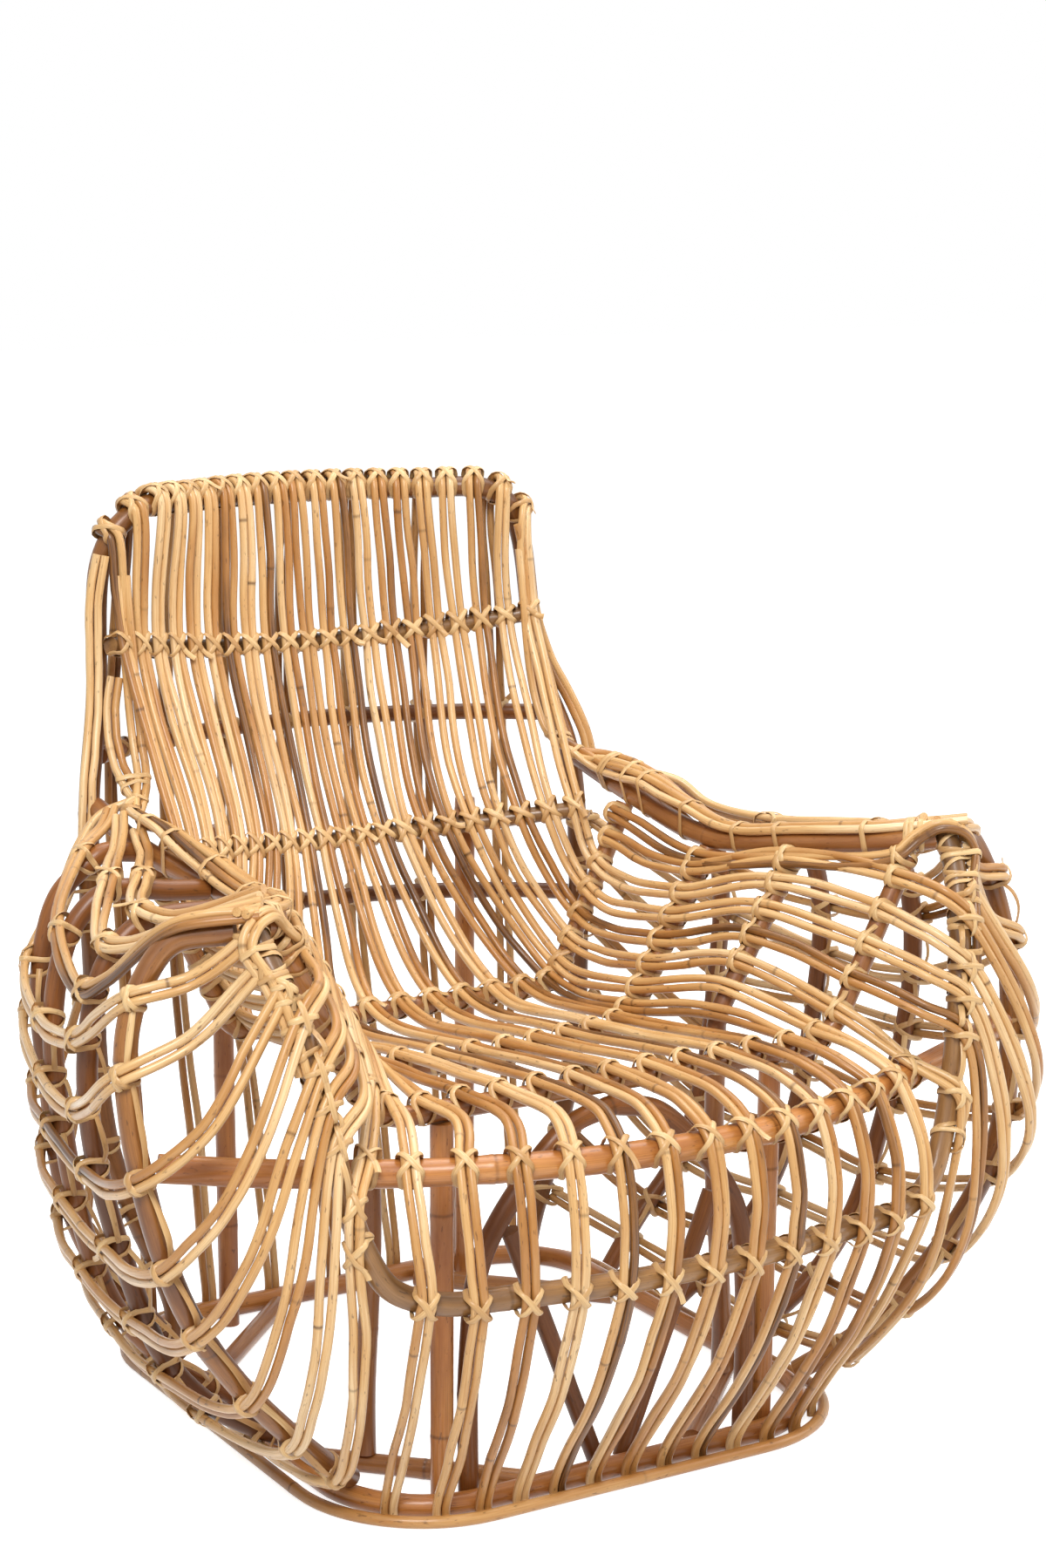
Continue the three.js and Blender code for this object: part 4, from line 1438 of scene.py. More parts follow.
class Strand:
    """Two thin rods that run side by side through a row of stations.

    The rods of a strand that runs over the chair's top are darker up to there, on the chair's rear: painted
    shade behind the back. Strands off the seat are painted lighter than the seat's: painted light on the
    arms.
    """

    lanes = (-1.0, 1.0)
    top_height = 870.0
    seat_darkness = 0.17
    # painted light: strands off the seat get a lighter mean tone than the seat's, standing in for the light
    # that falls on the arms
    arm_darkness = -0.02

    def __init__(self, name: str, stations: Sequence[Station], side: Side) -> None:
        """Draws the strand's middle line.

        Args:
            name: The strand's name, which also sets its small irregularities.
            stations: The stations on the right side.
            side: The side of the chair that the strand is on.
        """
        self.name = name
        self.shaded = 0.0
        # Strands off the seat are painted lighter: painted light on the arms.
        self.darkness = self.seat_darkness if name.startswith("seat") else self.arm_darkness
        self.stations = [s.mirrored() if side is Side.LEFT else s for s in stations]
        self.line = smooth([s.point for s in self.stations], 4.0)
        self.faces = np.array([unit(s.face) for s in self.stations])
        # Up to the top, the rods get painted shade on the chair's rear.
        highest = int(np.argmax(self.line.points[:, Z]))
        if self.line.points[highest, Z] > self.top_height:
            self.shaded = float(self.line.reach[highest])

    def frame(self, s: Any) -> tuple[Array, Array, Array]:
        """The strand's middle, its sideways direction and the way it faces, at distances along it.

        Args:
            s: One distance or a row of them.

        Returns:
            The points and the two directions.
        """
        face = np.stack([np.interp(s, self.line.knots, self.faces[:, i]) for i in range(3)], axis=-1)
        way = self.line.way(s)
        across = unit(np.cross(face, way))
        return self.line.at(s), across, np.cross(way, across)

    def rods_at(self, s: float) -> list[tuple[Array, float]]:
        """Middle and radius of each rod at a distance along the strand, where the rods touch."""
        middle, across, _ = self.frame(s)
        return [(middle + across * lane * GAUGE.rod / 2, GAUGE.rod / 2) for lane in self.lanes]

    def draw(self, draft: Draft) -> None:
        """Draws the rods, which part and wander a little between their bindings.

        Args:
            draft: The piece that they become part of.
        """
        rng = seeded(self.name)
        held = np.array(self.line.knots)
        shade = rng.uniform(0.0, 1.0) ** HABIT.shade_power
        roam, heave = Waver(rng, HABIT.roam_wave), Waver(rng, HABIT.heave_wave)
        for lane in self.lanes:
            knuckles = Knuckles(rng, self.line.length, *HABIT.knuckles)
            s = knuckles.distances(self.line.spread(HABIT.step, HABIT.bend))
            middle, across, out = self.frame(s)
            loose = np.clip(np.min(np.abs(s[:, None] - held), axis=1) / HABIT.hold, 0.0, 1.0)
            parting = HABIT.parting + HABIT.parting * Waver(rng, HABIT.parting_wave)(s)
            part = HABIT.closeness + loose * parting
            aside = lane * (GAUGE.rod / 2 + part) + loose * HABIT.roam * roam(s)
            lift = loose * (HABIT.lift * Waver(rng, HABIT.lift_wave)(s) + HABIT.heave * heave(s))
            centres = middle + across * aside[:, None] + out * lift[:, None]
            swell, ring = knuckles.swelling(s)
            uneven = HABIT.girth_change * Waver(rng, HABIT.girth_wave)(s)
            scale = GAUGE.rod / 2 * (HABIT.girth + uneven + HABIT.knuckle_swell * swell)
            tone = np.full(len(s), HABIT.strand_shade * shade + rng.normal(self.darkness, HABIT.rod_shade))
            # painted shade on the chair's rear, up to the top
            tone += np.where(s < self.shaded, HABIT.rear_shade, 0.0)
            if rng.random() < HABIT.stain_share:
                stained = rng.uniform(0.0, self.line.length)
                tone += HABIT.stain_shade * hump(s - stained, rng.uniform(*HABIT.stain_lengths))
            along = s + GRAIN_STEP * rng.integers(0, HABIT.grain_starts)
            draft.sweep(centres, out, ROD_SECTION, scale, along, np.clip(tone, 0.0, HABIT.darkest), ring)

    def build(self, shop: Shop, node: str = "") -> None:
        """Makes the strand, in place of a CAD node if one is named.

        Args:
            shop: Where the pieces are made.
            node: The CAD node, if any.
        """
        draft = Draft()
        self.draw(draft)
        shop.deliver(draft, self.name + "_rods", STRAW, node)


STRIP_SECTION = np.array([[1.0, -0.06], [0.72, 0.24], [0.0, 0.36], [-0.72, 0.24], [-1.0, -0.06]])


@dataclass
class Bindings:
    """Split cane that binds strands to poles and to each other, collected in one draft.

    Sizes are in millimetres, and the name of the piece sets the strips' irregularities.
    """

    name: str
    half_width: float = 2.9
    width_change: float = 0.1
    width_wave: float = 0.11
    width_phase: float = 40.0
    grain_starts: int = 60
    lift: float = 0.5
    layer: float = 0.5
    loop_samples: int = 22
    tones: Pair = (0.05, 0.7)
    reach_shares: Pair = (0.85, 1.15)
    overlap: float = 1.4
    clearance: float = 0.75
    crest_step: float = 0.9
    flank_step: float = 0.3
    edge_share: float = 0.2
    wrap_lead: float = 0.45
    wrap_points: int = 7
    centre_share: float = 0.45
    flatten: float = 0.45
    tail_share: float = 0.3
    tail_start: int = 5
    tail_points: int = 5
    tail_lengths: Pair = (9.0, 19.0)
    tail_strays: Pair = (-5.0, 5.0)
    tail_lifts: Pair = (1.0, 6.0)
    tail_tones: Pair = (0.1, 0.7)
    band_start: Place = (0.3, -0.8, 0.5)
    band_slants: Pair = (1.0, 3.0)
    band_phases: Pair = (0.0, 6.28)
    runner_bows: Pair = (3.0, 13.0)
    runner_turns: Pair = (0.25, 0.5)
    runner_next_turn: float = 0.3
    runner_next_bow: float = 0.8
    runner_step: float = 6.0
    runner_tones: Pair = (0.1, 0.8)

    def __post_init__(self) -> None:
        """Starts an empty draft and the row of random numbers."""
        self.draft = Draft()
        self.rng = seeded(self.name)

    def strip(self, points: Array, outward: Array, tone: float, closed: bool) -> None:
        """Draws one strip of cane.

        Args:
            points: The strip's path.
            outward: The way the strip's outer side faces.
            tone: How dark it is.
            closed: Whether it is a closed loop.
        """
        along = np.concatenate([[0.0], np.cumsum(np.linalg.norm(np.diff(points, axis=0), axis=1))])
        along = along + GRAIN_STEP * round(tone * self.grain_starts)
        wave = np.sin(along * self.width_wave + self.width_phase * tone)
        scale = self.half_width * (1 + self.width_change * wave)
        self.draft.sweep(points, outward, STRIP_SECTION, scale, along, tone, np.zeros(len(points)), closed)

    def tie(self, strand: Strand, index: int) -> None:
        """Binds a strand to the pole at one of its stations with two crossing loops.

        Args:
            strand: The strand.
            index: Which of its stations.
        """
        rng = self.rng
        station = strand.stations[index]
        spot = station.spot
        s0 = strand.line.knots[index] + station.offset
        reach = station.style.value * rng.uniform(*self.reach_shares)
        _, across, out = strand.frame(s0)
        way = strand.line.way(s0)
        axis = spot.along * math.copysign(1.0, float(np.dot(spot.along, across)))
        face = square_to(axis, out)
        onward = square_to(axis, way - face * np.dot(way, face))
        half = GAUGE.rod + self.overlap
        rod = GAUGE.rod / 2
        for order, sign in enumerate((-1.0, 1.0)):
            crest = rod + self.clearance + self.crest_step * order
            flank = rod + self.clearance + self.flank_step * order
            heights = (crest, flank, self.edge_share * rod)
            points = []
            for share in (-1.0, -0.5, 0.0, 0.5, 1.0):
                s = np.clip(s0 + share * reach, 0.0, strand.line.length)
                p, a, f = strand.frame(s)
                points.append(p + a * sign * share * half + f * heights[round(2 * abs(share))])
            end = points[-1] - spot.point
            begin = points[0] - spot.point
            theta_end, theta_begin = (math.atan2(np.dot(p, onward), np.dot(p, face)) for p in (end, begin))
            theta_end = theta_end + self.wrap_lead
            theta_begin = theta_begin - self.wrap_lead + 2 * math.pi
            v_end, v_begin = float(np.dot(end, axis)), float(np.dot(begin, axis))
            radius = spot.radius + self.lift + self.layer * order
            for share in np.linspace(0.0, 1.0, self.wrap_points):
                theta = theta_end + (theta_begin - theta_end) * share
                v = v_end + (v_begin - v_end) * (3 * share ** 2 - 2 * share ** 3)
                direction = face * math.cos(theta) + onward * math.sin(theta)
                points.append(spot.point + direction * radius + axis * v)
            loop = ring_through(points, self.loop_samples)
            centre = spot.point + face * self.centre_share * spot.radius
            outward = loop - centre
            outward -= axis * (np.sum(outward * axis, axis=1, keepdims=True) * self.flatten)
            self.strip(loop, unit(outward), rng.uniform(*self.tones), True)
        if rng.random() < self.tail_share:
            start = loop[self.tail_start]
            self.tail(start, unit(start - loop[self.tail_start - 1]), face)

    def tail(self, start: Array, way: Array, face: Array) -> None:
        """Lets the cut end of a strip stand off a binding.

        Args:
            start: Where the end leaves the binding.
            way: The way the strip runs there.
            face: The way the binding faces.
        """
        rng = self.rng
        length = rng.uniform(*self.tail_lengths)
        steps = np.linspace(0.0, 1.0, self.tail_points)[:, None]
        aside = np.cross(face, way) * rng.uniform(*self.tail_strays)
        points = start + way * steps * length + (face * rng.uniform(*self.tail_lifts) + aside) * steps ** 2
        outward = np.repeat([face], self.tail_points, axis=0)
        self.strip(points, outward, rng.uniform(*self.tail_tones), False)

    def band(self, spot: Spot, rods: Sequence[tuple[Array, float]]) -> None:
        """Draws a strip tight round a pole and the rods that lie along it.

        Args:
            spot: The place on the pole.
            rods: Middle and radius of each rod beside it.
        """
        rng = self.rng
        first = square_to(spot.along, vec(*self.band_start))
        second = np.cross(spot.along, first)
        circles = [(spot.point, spot.radius), *rods]
        slant, phase = rng.uniform(*self.band_slants), rng.uniform(*self.band_phases)
        points, outward = [], []
        for angle in np.arange(self.loop_samples) * 2 * math.pi / self.loop_samples:
            way = first * math.cos(angle) + second * math.sin(angle)
            centre, radius = max(circles, key=lambda c: float(np.dot(c[0] - spot.point, way)) + c[1])
            aside = slant * math.sin(angle + phase) - np.dot(centre - spot.point, spot.along)
            points.append(centre + way * (radius + self.lift) + spot.along * aside)
            outward.append(way)
        self.strip(np.array(points), np.array(outward), rng.uniform(*self.tones), True)

    def runner(self, ends: tuple[Array, Array], away: Array) -> None:
        """Carries a strip along a pole from one binding to the next in a loose bow.

        Args:
            ends: Where it leaves the one binding and reaches the other.
            away: The way it bows.
        """
        rng = self.rng
        first, last = ends
        bow = rng.uniform(*self.runner_bows)
        turn = rng.uniform(*self.runner_turns)
        line = smooth([
            first, first + (last - first) * turn + away * bow,
            first + (last - first) * (turn + self.runner_next_turn) + away * bow * self.runner_next_bow, last,
        ], self.runner_step)
        outward = np.repeat([away], len(line.points), axis=0)
        self.strip(line.points, outward, rng.uniform(*self.runner_tones), False)

    def deliver(self, shop: Shop) -> None:
        """Makes the piece from all the strips."""
        shop.deliver(self.draft, self.name, CANE)


@dataclass(frozen=True)
class ArmLevel:
    """Heights at which one strand passes the poles of an arm, and how far its front bellies out."""

    hoop: float
    corner: float
    sides: Row
    upright: float
    belly: float


@dataclass(frozen=True)
class Shoulder:
    """A strand over an arm's shoulder.

    It has points in front, coordinates at which it crosses the side poles, and points behind.
    """

    ahead: Route
    sides: tuple[tuple[int, float], ...]
    behind: Route


@dataclass(frozen=True)
class EdgeRun:
    """How a strand runs down beside the upright, in millimetres.

    The two values of aside and ahead hold below and above the stretch where the strand bends away.
    """

    top: float
    end: float
    aside: Pair
    ahead: Pair


@dataclass(frozen=True)
class RailRun:
    """A strand that comes down beside the upright and then lies along the arm rail.

    It lies on one side of the rail at the rear and on another at the front, and it ends past the rail's end.
    """

    name: str
    lead: Route
    rear: Place
    front: Place
    past: float


@dataclass
class Weave:
    """All the strands over the frame, their spacing on each pole, and their bindings."""

    half_count: int = 6
    arm_strands: int = 4
    rear_base_pitch: float = 26.0
    rear_rail_pitch: float = 25.5
    rear_every: int = 3
    top_pitch: float = 24.0
    upper_bar_pitch: float = 25.0
    lower_bar_pitch: float = 24.5
    rail_pitch: float = 44.0
    lower_rail_pitch: float = 45.5
    front_base_pitch: float = 41.0
    end_z: float = 4.0
    foot_z: float = 16.0
    nail_rise: float = 6.0
    arch_back: float = 32.0
    arch_up: float = 36.0
    front_swell: float = 10.0
    front_belly: float = 11.0
    front_belly_share: float = 0.43
    rail_tie_offset: float = 6.0
    lower_tie_offset: float = 3.0
    arm_bulge: float = 21.0
    loop_sag: float = 0.1
    belly_share: float = 0.55
    side_slants: Row = (0.1, 0.24, 0.46)
    upper_loops: int = 6
    crown_knot: int = 1
    shoulder_knot: int = 2
    hoop_rise_knot: int = 4
    hoop_leave_z: float = 316.0
    rail_cross_x: float = 300.0
    levels: tuple[ArmLevel, ...] = (
        ArmLevel(356, 62, (50, 52, 62), 94, 50),
        ArmLevel(411, 110, (88, 92, 101), 162, 56),
        ArmLevel(445, 164, (136, 139, 147), 238, 60),
        ArmLevel(475, 237, (192, 199, 209), 318, 62),
        ArmLevel(517, 298, (267, 272, 281), 398, 58),
        ArmLevel(543, 377, (345, 348, 351), 478, 48),
        ArmLevel(562, 466, (402, 398, 424), 520, 8),
        ArmLevel(582, 530, (466, 453, 474), 566, 6),
    )
    left_shoulders: tuple[Shoulder, ...] = (
        Shoulder(((380, -240, 606), (440, -199, 595), (470, -115, 531)), ((Z, 509), (Z, 533), (X, 352)),
                 ((318, 226, 594), (300, 250, 604))),
        Shoulder(((372, -229, 612), (420, -190, 592), (447, -112, 560)), ((Z, 546), (X, 386)),
                 ((330, 168, 586), (302, 224, 602))),
        Shoulder(((366, -217, 619), (408, -128, 583)), ((X, 412), (X, 356)),
                 ((314, 140, 582), (296, 196, 592))),
    )
    right_shoulders: tuple[Shoulder, ...] = (
        Shoulder(((380, -240, 604), (440, -199, 588), (470, -115, 522)), ((Z, 498), (Z, 512), (Z, 528)),
                 ((332, 222, 578), (306, 250, 594))),
        Shoulder(((372, -229, 606), (420, -190, 584), (447, -112, 552)), ((Z, 534), (Z, 528)),
                 ((342, 178, 562), (308, 228, 586))),
        Shoulder(((366, -217, 608), (408, -128, 574)), ((X, 420), (X, 376)),
                 ((354, 140, 564), (335, 168, 585), (310, 200, 592), (296, 222, 594))),
    )
    crest_core: Place = (250, 200, 480)
    crest: Route = (
        (390, 205, 514), (360, 228, 546), (336, 250, 571), (306, 268, 594), (276, 262, 606),
    )
    edge_bend: Pair = (650.0, 760.0)
    edge_points: int = 8
    left_edge: EdgeRun = EdgeRun(846.0, 533.0, (12.0, 12.0), (21.0, 21.0))
    right_edge: EdgeRun = EdgeRun(852.0, 580.0, (20.0, -10.0), (12.0, 22.0))
    rail_runs: tuple[RailRun, ...] = (
        RailRun("top", (
            (239, 342, 824), (240, 335, 780), (240, 328, 736), (241, 320, 692), (243, 308, 656),
            (247, 290, 627), (262, 262, 610),
        ), rear=(-0.95, 0, 0.3), front=(-0.3, 0, 0.95), past=34.0),
        RailRun("outer", (
            (254, 334, 722), (262, 328, 693), (266, 318, 663), (266, 304, 636), (264, 284, 617),
            (266, 262, 607),
        ), rear=(-0.4, 0, 0.92), front=(0.7, 0, 0.71), past=8.0),
    )
    rail_start: float = 70.0
    rail_rise: Row = (12.0, 18.0, 11.0, 0.0, 0.0, 0.0, 0.0)
    spread_bands: int = 5
    spread_shares: Pair = (0.3, 0.86)
    spread_stray: float = 14.0
    rail_bands: Row = (72.0, 79.0, 120.0)
    rail_end_bands: Row = (26.0, 19.0, 12.0)
    hoop_bands: Row = (572, 553, 533, 510, 490)
    band_near: float = 6.0
    band_pull: float = 0.2
    knot_y: float = 240.0
    knot_heights: Row = (624.0, 617.0, 608.0)
    knot_core: float = 3.0
    run_on_gap: float = 6.0
    run_on_lift: float = 1.0
    run_on_sway: Pair = (-0.9, 0.6)
    inner_drops: Row = (27.0, 27.0, 26.0, 22.0)
    inner_heights: Row = (552.0, 525.0, 498.0, 474.0)
    over_hoop: tuple[tuple[Place, Place], ...] = (
        ((350, -222, 592), (-0.5, -0.5, 0.7)), ((368, -236, 604), (-0.1, -0.5, 0.85)),
        ((388, -246, 598), (0.5, -0.5, 0.7)), ((398, -252, 580), (0.8, -0.5, 0.3)),
    )

    def __post_init__(self) -> None:
        """Sets out the poles that the strands lie on, on the right side."""
        self.hoop = BACK.hoop_half()
        self.front_hoop = FRONT.hoop_half()
        self.hoop_start = self.front_hoop.line.knots[self.hoop_rise_knot]
        self.corner = ARM.corner_pole()
        self.corner_start = self.corner.line.knots[self.crown_knot]
        self.rail = FRONT.rail_half(self.corner)
        self.arm_rail = ARM.rail()
        self.sides_of = {
            side: [ARM.side_pole(i, self.arm_rail, side) for i in range(len(ARM.side_y))] for side in Side}
        self.sides = self.sides_of[Side.LEFT]
        self.rear_lower = BACK.bar(BACK.rear_lower, self.hoop)
        self.rear_upper = BACK.bar(BACK.rear_upper, self.hoop)
        self.upper_bar = BACK.bar(BACK.upper)
        self.lower_bar = BACK.bar(BACK.lower)

    def across(self, pole: Pole, x: float, way: Array) -> Station:
        """A strand's place on a pole that runs across the chair, square to the pole."""
        spot = pole.spot(X, x)
        return on(spot, square_to(spot.along, way))

    def rear_stations(self, k: int) -> list[Station]:
        """From the nails at the rear of the base up over the two rear rails, for each third strand.

        Args:
            k: Which strand, counted from the middle.

        Returns:
            The stations on the right side.
        """
        if k % self.rear_every != 0:
            return []
        point, face = BASE.nail_outside(k * self.rear_base_pitch, 1)
        back = vec(0, 1, 0)
        return [
            Station(point + vec(0, 0, self.end_z), face),
            Station(point + vec(0, 0, GAUGE.pole + self.nail_rise), face),
            self.across(self.rear_lower, k * self.rear_rail_pitch, back),
            self.across(self.rear_upper, k * self.rear_rail_pitch, back),
        ]

    def top_stations(self, k: int) -> list[Station]:
        """The turn over the top bar, from its rear to its front.

        Args:
            k: Which strand, counted from the middle.

        Returns:
            The stations on the right side.
        """
        spot = self.hoop.spot(X, k * self.top_pitch)
        rear = square_to(spot.along, vec(0, 1, 0))
        over = np.cross(spot.along, rear)
        over = over * math.copysign(1.0, over[Z])
        angles = np.radians([0, 40, 80, 120, 160])
        return turned(spot, [rear * math.cos(a) + over * math.sin(a) for a in angles], 3)

    def on_rib(self, rib: SeatRib, k: int, tilt: float, gap: float = GAUGE.tie_gap) -> Station:
        """A strand's place on a seat rib."""
        s = rib.tie(k)
        return on(rib.spot(s), rib.at(s)[1] + vec(0, tilt, 0), TieStyle.BAND, gap)

    def front_rib_stations(self, k: int, tilts: Sequence[float]) -> list[Station]:
        """The turn over the front rib, where a strand leaves the seat or the arm's inner side.

        Args:
            k: Which strand, counted from the middle.
            tilts: How far each of its sides leans forward.

        Returns:
            The stations on the right side.
        """
        s = SEAT.front.tie(k)
        normal = SEAT.front.at(s)[1]
        faces = [unit(normal + vec(0, tilt, 0)) for tilt in tilts]
        return turned(SEAT.front.spot(s), faces, 0, TieStyle.BAND)

    def inner_side_stations(self, k: int) -> list[Station]:
        """Over the first two seat ribs."""
        return [self.on_rib(SEAT.rear, k, -0.4, GAUGE.nail_gap), self.on_rib(SEAT.middle, k, 0.0)]

    def back_stations(self, k: int) -> list[Station]:
        """Down the front of the back and over the first two seat ribs.

        Args:
            k: Which strand, counted from the middle.

        Returns:
            The stations on the right side.
        """
        return [
            self.across(self.upper_bar, k * self.upper_bar_pitch, vec(0, -0.93, 0.36)),
            self.across(self.lower_bar, k * self.lower_bar_pitch, vec(0, -0.87, 0.49)),
            *self.inner_side_stations(k),
        ]

    def front_stations(self, k: int) -> list[Station]:
        """Over the front rail and the lower rail down to the nails at the front of the base.

        Args:
            k: Which strand, counted from the middle.

        Returns:
            The stations on the right side.
        """
        point, face = BASE.nail_outside(k * self.front_base_pitch, -1)
        rail = self.rail.spot(X, k * self.rail_pitch)
        lower = self.front_hoop.spot(X, k * self.lower_rail_pitch)
        ahead = square_to(rail.along, vec(0, -1, 0))
        bend = rail.point - ahead * self.arch_back + vec(0, 0, self.arch_up)
        faces = (vec(0, -0.45, 0.89), vec(0, -0.95, 0.31))
        over = turned(rail, [square_to(rail.along, f) for f in faces], 0)
        over[0].offset = self.rail_tie_offset
        faces = (vec(0, -1, 0.08), vec(0, -0.95, -0.3))
        under = turned(lower, [square_to(lower.along, f) for f in faces], 0)
        under[0].offset = self.lower_tie_offset
        foot = point + vec(0, 0, self.foot_z)
        swell = (over[1].point + under[0].point) / 2 + ahead * self.front_swell
        belly = under[1].point + (foot - under[1].point) * self.front_belly_share
        belly = belly + under[1].face * self.front_belly
        return [
            Station(bend, ahead * 0.35 + vec(0, 0, 0.94)),
            *over, Station(swell, ahead), *under,
            Station(belly, under[1].face + vec(0, 0, -0.2)),
            Station(foot, face),
            Station(point + vec(0, 0, self.end_z), face),
        ]

    def loop_stations(self, i: int) -> list[Station]:
        """One strand's way round an arm, from the front hoop over the outer poles to the upright.

        Args:
            i: Which of the levels, counted from the lowest.

        Returns:
            The stations on the right side.
        """
        level = self.levels[i]
        hoop = self.front_hoop.spot(Z, level.hoop, self.hoop_start)
        corner = self.corner.spot(Z, level.corner, self.corner_start)
        upright = self.hoop.spot(Z, level.upright)
        sides = []
        for pole, z, slant in zip(self.sides, level.sides, self.side_slants):
            spot = pole.spot(Z, z, pole.line.knots[self.shoulder_knot])
            sides.append(on(spot, square_to(spot.along, vec(1, 0, 0)) + vec(0, slant, 0)))
        ahead = vec(0.05, -0.98, 0.15) if i < self.upper_loops else vec(0.7, -0.7, 0.2)
        crossing = on(hoop, square_to(hoop.along, ahead))
        swell = unit(vec(min(0.4, 0.1 + 0.2 * i), -0.9, 0)) * level.belly
        fall = vec(0, 0, self.loop_sag * (hoop.point[Z] - corner.point[Z]))
        belly = hoop.point + (corner.point - hoop.point) * self.belly_share + swell - fall
        start = [crossing]
        if i > 0:
            bent = [on(corner, square_to(corner.along, vec(0.75, -0.66, 0)), TieStyle.BAND)]
        else:
            leave = self.front_hoop.spot(Z, self.hoop_leave_z, self.hoop_start)
            start.append(on(leave, square_to(leave.along, vec(0.85, -0.5, 0))))
            outer = [square_to(corner.along, f) for f in (vec(0.5, -0.87, 0), vec(0.95, -0.3, 0))]
            bent = turned(corner, outer, 0, TieStyle.BAND)
        last = [on(upright, square_to(upright.along, vec(1, 0, 0)), TieStyle.CROSS, GAUGE.nail_gap)]
        if i == len(self.levels) - 1:
            last = [Station(vec(*p), unit(vec(*p) - vec(*self.crest_core))) for p in self.crest]
        return [*start, Station(belly, vec(0.45, -0.89, 0)), *bent, *sides, *last]

    def seat_strand(self, k: int) -> Strand:
        """Strand k of the seat, counted from the chair's middle.

        Args:
            k: The strand's number, negative on the left.

        Returns:
            The strand.
        """
        n = abs(k)
        rib = [self.on_rib(SEAT.arm, n, 0.0)] if n > SEAT.front.on_seat - 2 else []
        if rib:
            rib[0].spot = None
        stations = [
            *self.rear_stations(n), *self.top_stations(n), *self.back_stations(n), *rib,
            *self.front_rib_stations(n, (0.1, -0.3)), *self.front_stations(n),
        ]
        name = f"seat_strand_{k + self.half_count + 1:02d}"
        return Strand(name, stations, Side.LEFT if k < 0 else Side.RIGHT)

    def arm_strand(self, i: int, side: Side) -> Strand:
        """Strand i round an arm, counted from the seat outwards.

        Args:
            i: The strand's number.
            side: The side of the chair.

        Returns:
            The strand.
        """
        k = self.half_count + 1 + i
        if i < self.arm_strands:
            start = [*self.rear_stations(k), *self.top_stations(k), *self.back_stations(k)]
        else:
            start = self.inner_side_stations(k)
        leave = self.front_rib_stations(k, (-0.3, -0.75))
        loop = self.loop_stations(i)
        if i == 0:
            over = self.across(self.rail, self.rail_cross_x, vec(-0.2, -0.3, 1))
        else:
            out = unit(leave[-1].face + loop[0].face)
            middle = leave[-1].point * (1 - self.belly_share) + loop[0].point * self.belly_share
            over = Station(middle + out * self.arm_bulge, out)
        stations = [*start, self.on_rib(SEAT.arm, k, -0.2), *leave, over, *loop]
        return Strand(f"arm_strand_{side.label}_{i + 1}", stations, side)

    def shoulder_strand(self, i: int, side: Side) -> Strand:
        """Strand i over the arm's shoulder, from the hoop's top to the rear end of the arm rail.

        Args:
            i: The strand's number.
            side: The side of the chair.

        Returns:
            The strand.
        """
        shoulder = (self.right_shoulders if side is Side.RIGHT else self.left_shoulders)[i]
        sides = []
        for pole, (axis, value) in zip(self.sides_of[side], shoulder.sides):
            knot = self.shoulder_knot if axis == Z else self.crown_knot
            spot = pole.spot(axis, value, pole.line.knots[knot])
            sides.append(on(spot, square_to(spot.along, vec(0.7, 0, 0.7))))
        front = [Station(vec(*p), unit(vec(0.3 + 0.2 * n, -0.35, 0.85)))
                 for n, p in enumerate(shoulder.ahead)]
        rear = [Station(vec(*p), unit(vec(0.35, 0.1, 0.9))) for p in shoulder.behind]
        return Strand(f"shoulder_strand_{side.label}_{i + 1}", [*front, *sides, *rear], side)

    def edge_stations(self, points: Sequence[Sequence[float]]) -> list[Station]:
        """Stations for rods that run down beside the upright."""
        return [Station(vec(*p), vec(0.3, -0.95, 0.1)) for p in points]

    def edge_strand(self, side: Side) -> Strand:
        """The strand that runs down beside the upright and ends at the arm.

        Args:
            side: The side of the chair.

        Returns:
            The strand.
        """
        run = self.right_edge if side is Side.RIGHT else self.left_edge
        points = []
        for z in np.linspace(run.top, run.end, self.edge_points):
            aside = np.interp(z, self.edge_bend, run.aside)
            ahead = np.interp(z, self.edge_bend, run.ahead)
            points.append(self.hoop.spot(Z, z).point + vec(aside, -ahead, 0))
        return Strand(f"edge_strand_{side.label}", self.edge_stations(points), side)

    def rail_strands(self, side: Side) -> list[Strand]:
        """The two strands that come down beside the upright and lie on the arm rail.

        Args:
            side: The side of the chair.

        Returns:
            The strands.
        """
        line = self.arm_rail.line
        reach = GAUGE.pole / 2 + GAUGE.tie_gap + GAUGE.rod / 2
        strands = []
        for run in self.rail_runs:
            rear, front = vec(*run.rear), vec(*run.front)
            stations = self.edge_stations(run.lead)
            places = np.linspace(self.rail_start, line.length + run.past, len(self.rail_rise))
            for n, (s, rise) in enumerate(zip(places, self.rail_rise)):
                inside = min(s, line.length)
                way = line.way(inside)
                out = square_to(way, rear + (front - rear) * min(1.0, n / 2.0))
                point = line.at(inside) + way * (s - inside) + out * reach
                stations.append(Station(point + vec(0, 0, rise), out))
            strands.append(Strand(f"rail_strand_{run.name}_{side.label}", stations, side))
        return strands

    def inner_strand(self, side: Side) -> Strand:
        """The strand below the arm rail on its inner side, which turns down over the front hoop's top.

        Args:
            side: The side of the chair.

        Returns:
            The strand.
        """
        stations = []
        ribs = (SEAT.rear, SEAT.middle, SEAT.arm, SEAT.front)
        for rib, drop in zip(ribs, self.inner_drops):
            s = rib.arm_s + float(np.linalg.norm(rib.rail - rib.at(rib.arm_s)[0])) - drop
            stations.append(on(rib.spot(s), rib.at(s)[1], TieStyle.BAND))
        stations += [Station(vec(*p), vec(*face)) for p, face in self.over_hoop]
        for z in self.inner_heights:
            spot = self.front_hoop.spot(Z, z, self.hoop_start)
            stations.append(on(spot, square_to(spot.along, vec(0.85, -0.5, 0.15))))
            stations[-1].spot = None
        return Strand(f"inner_strand_{side.label}", stations, side)

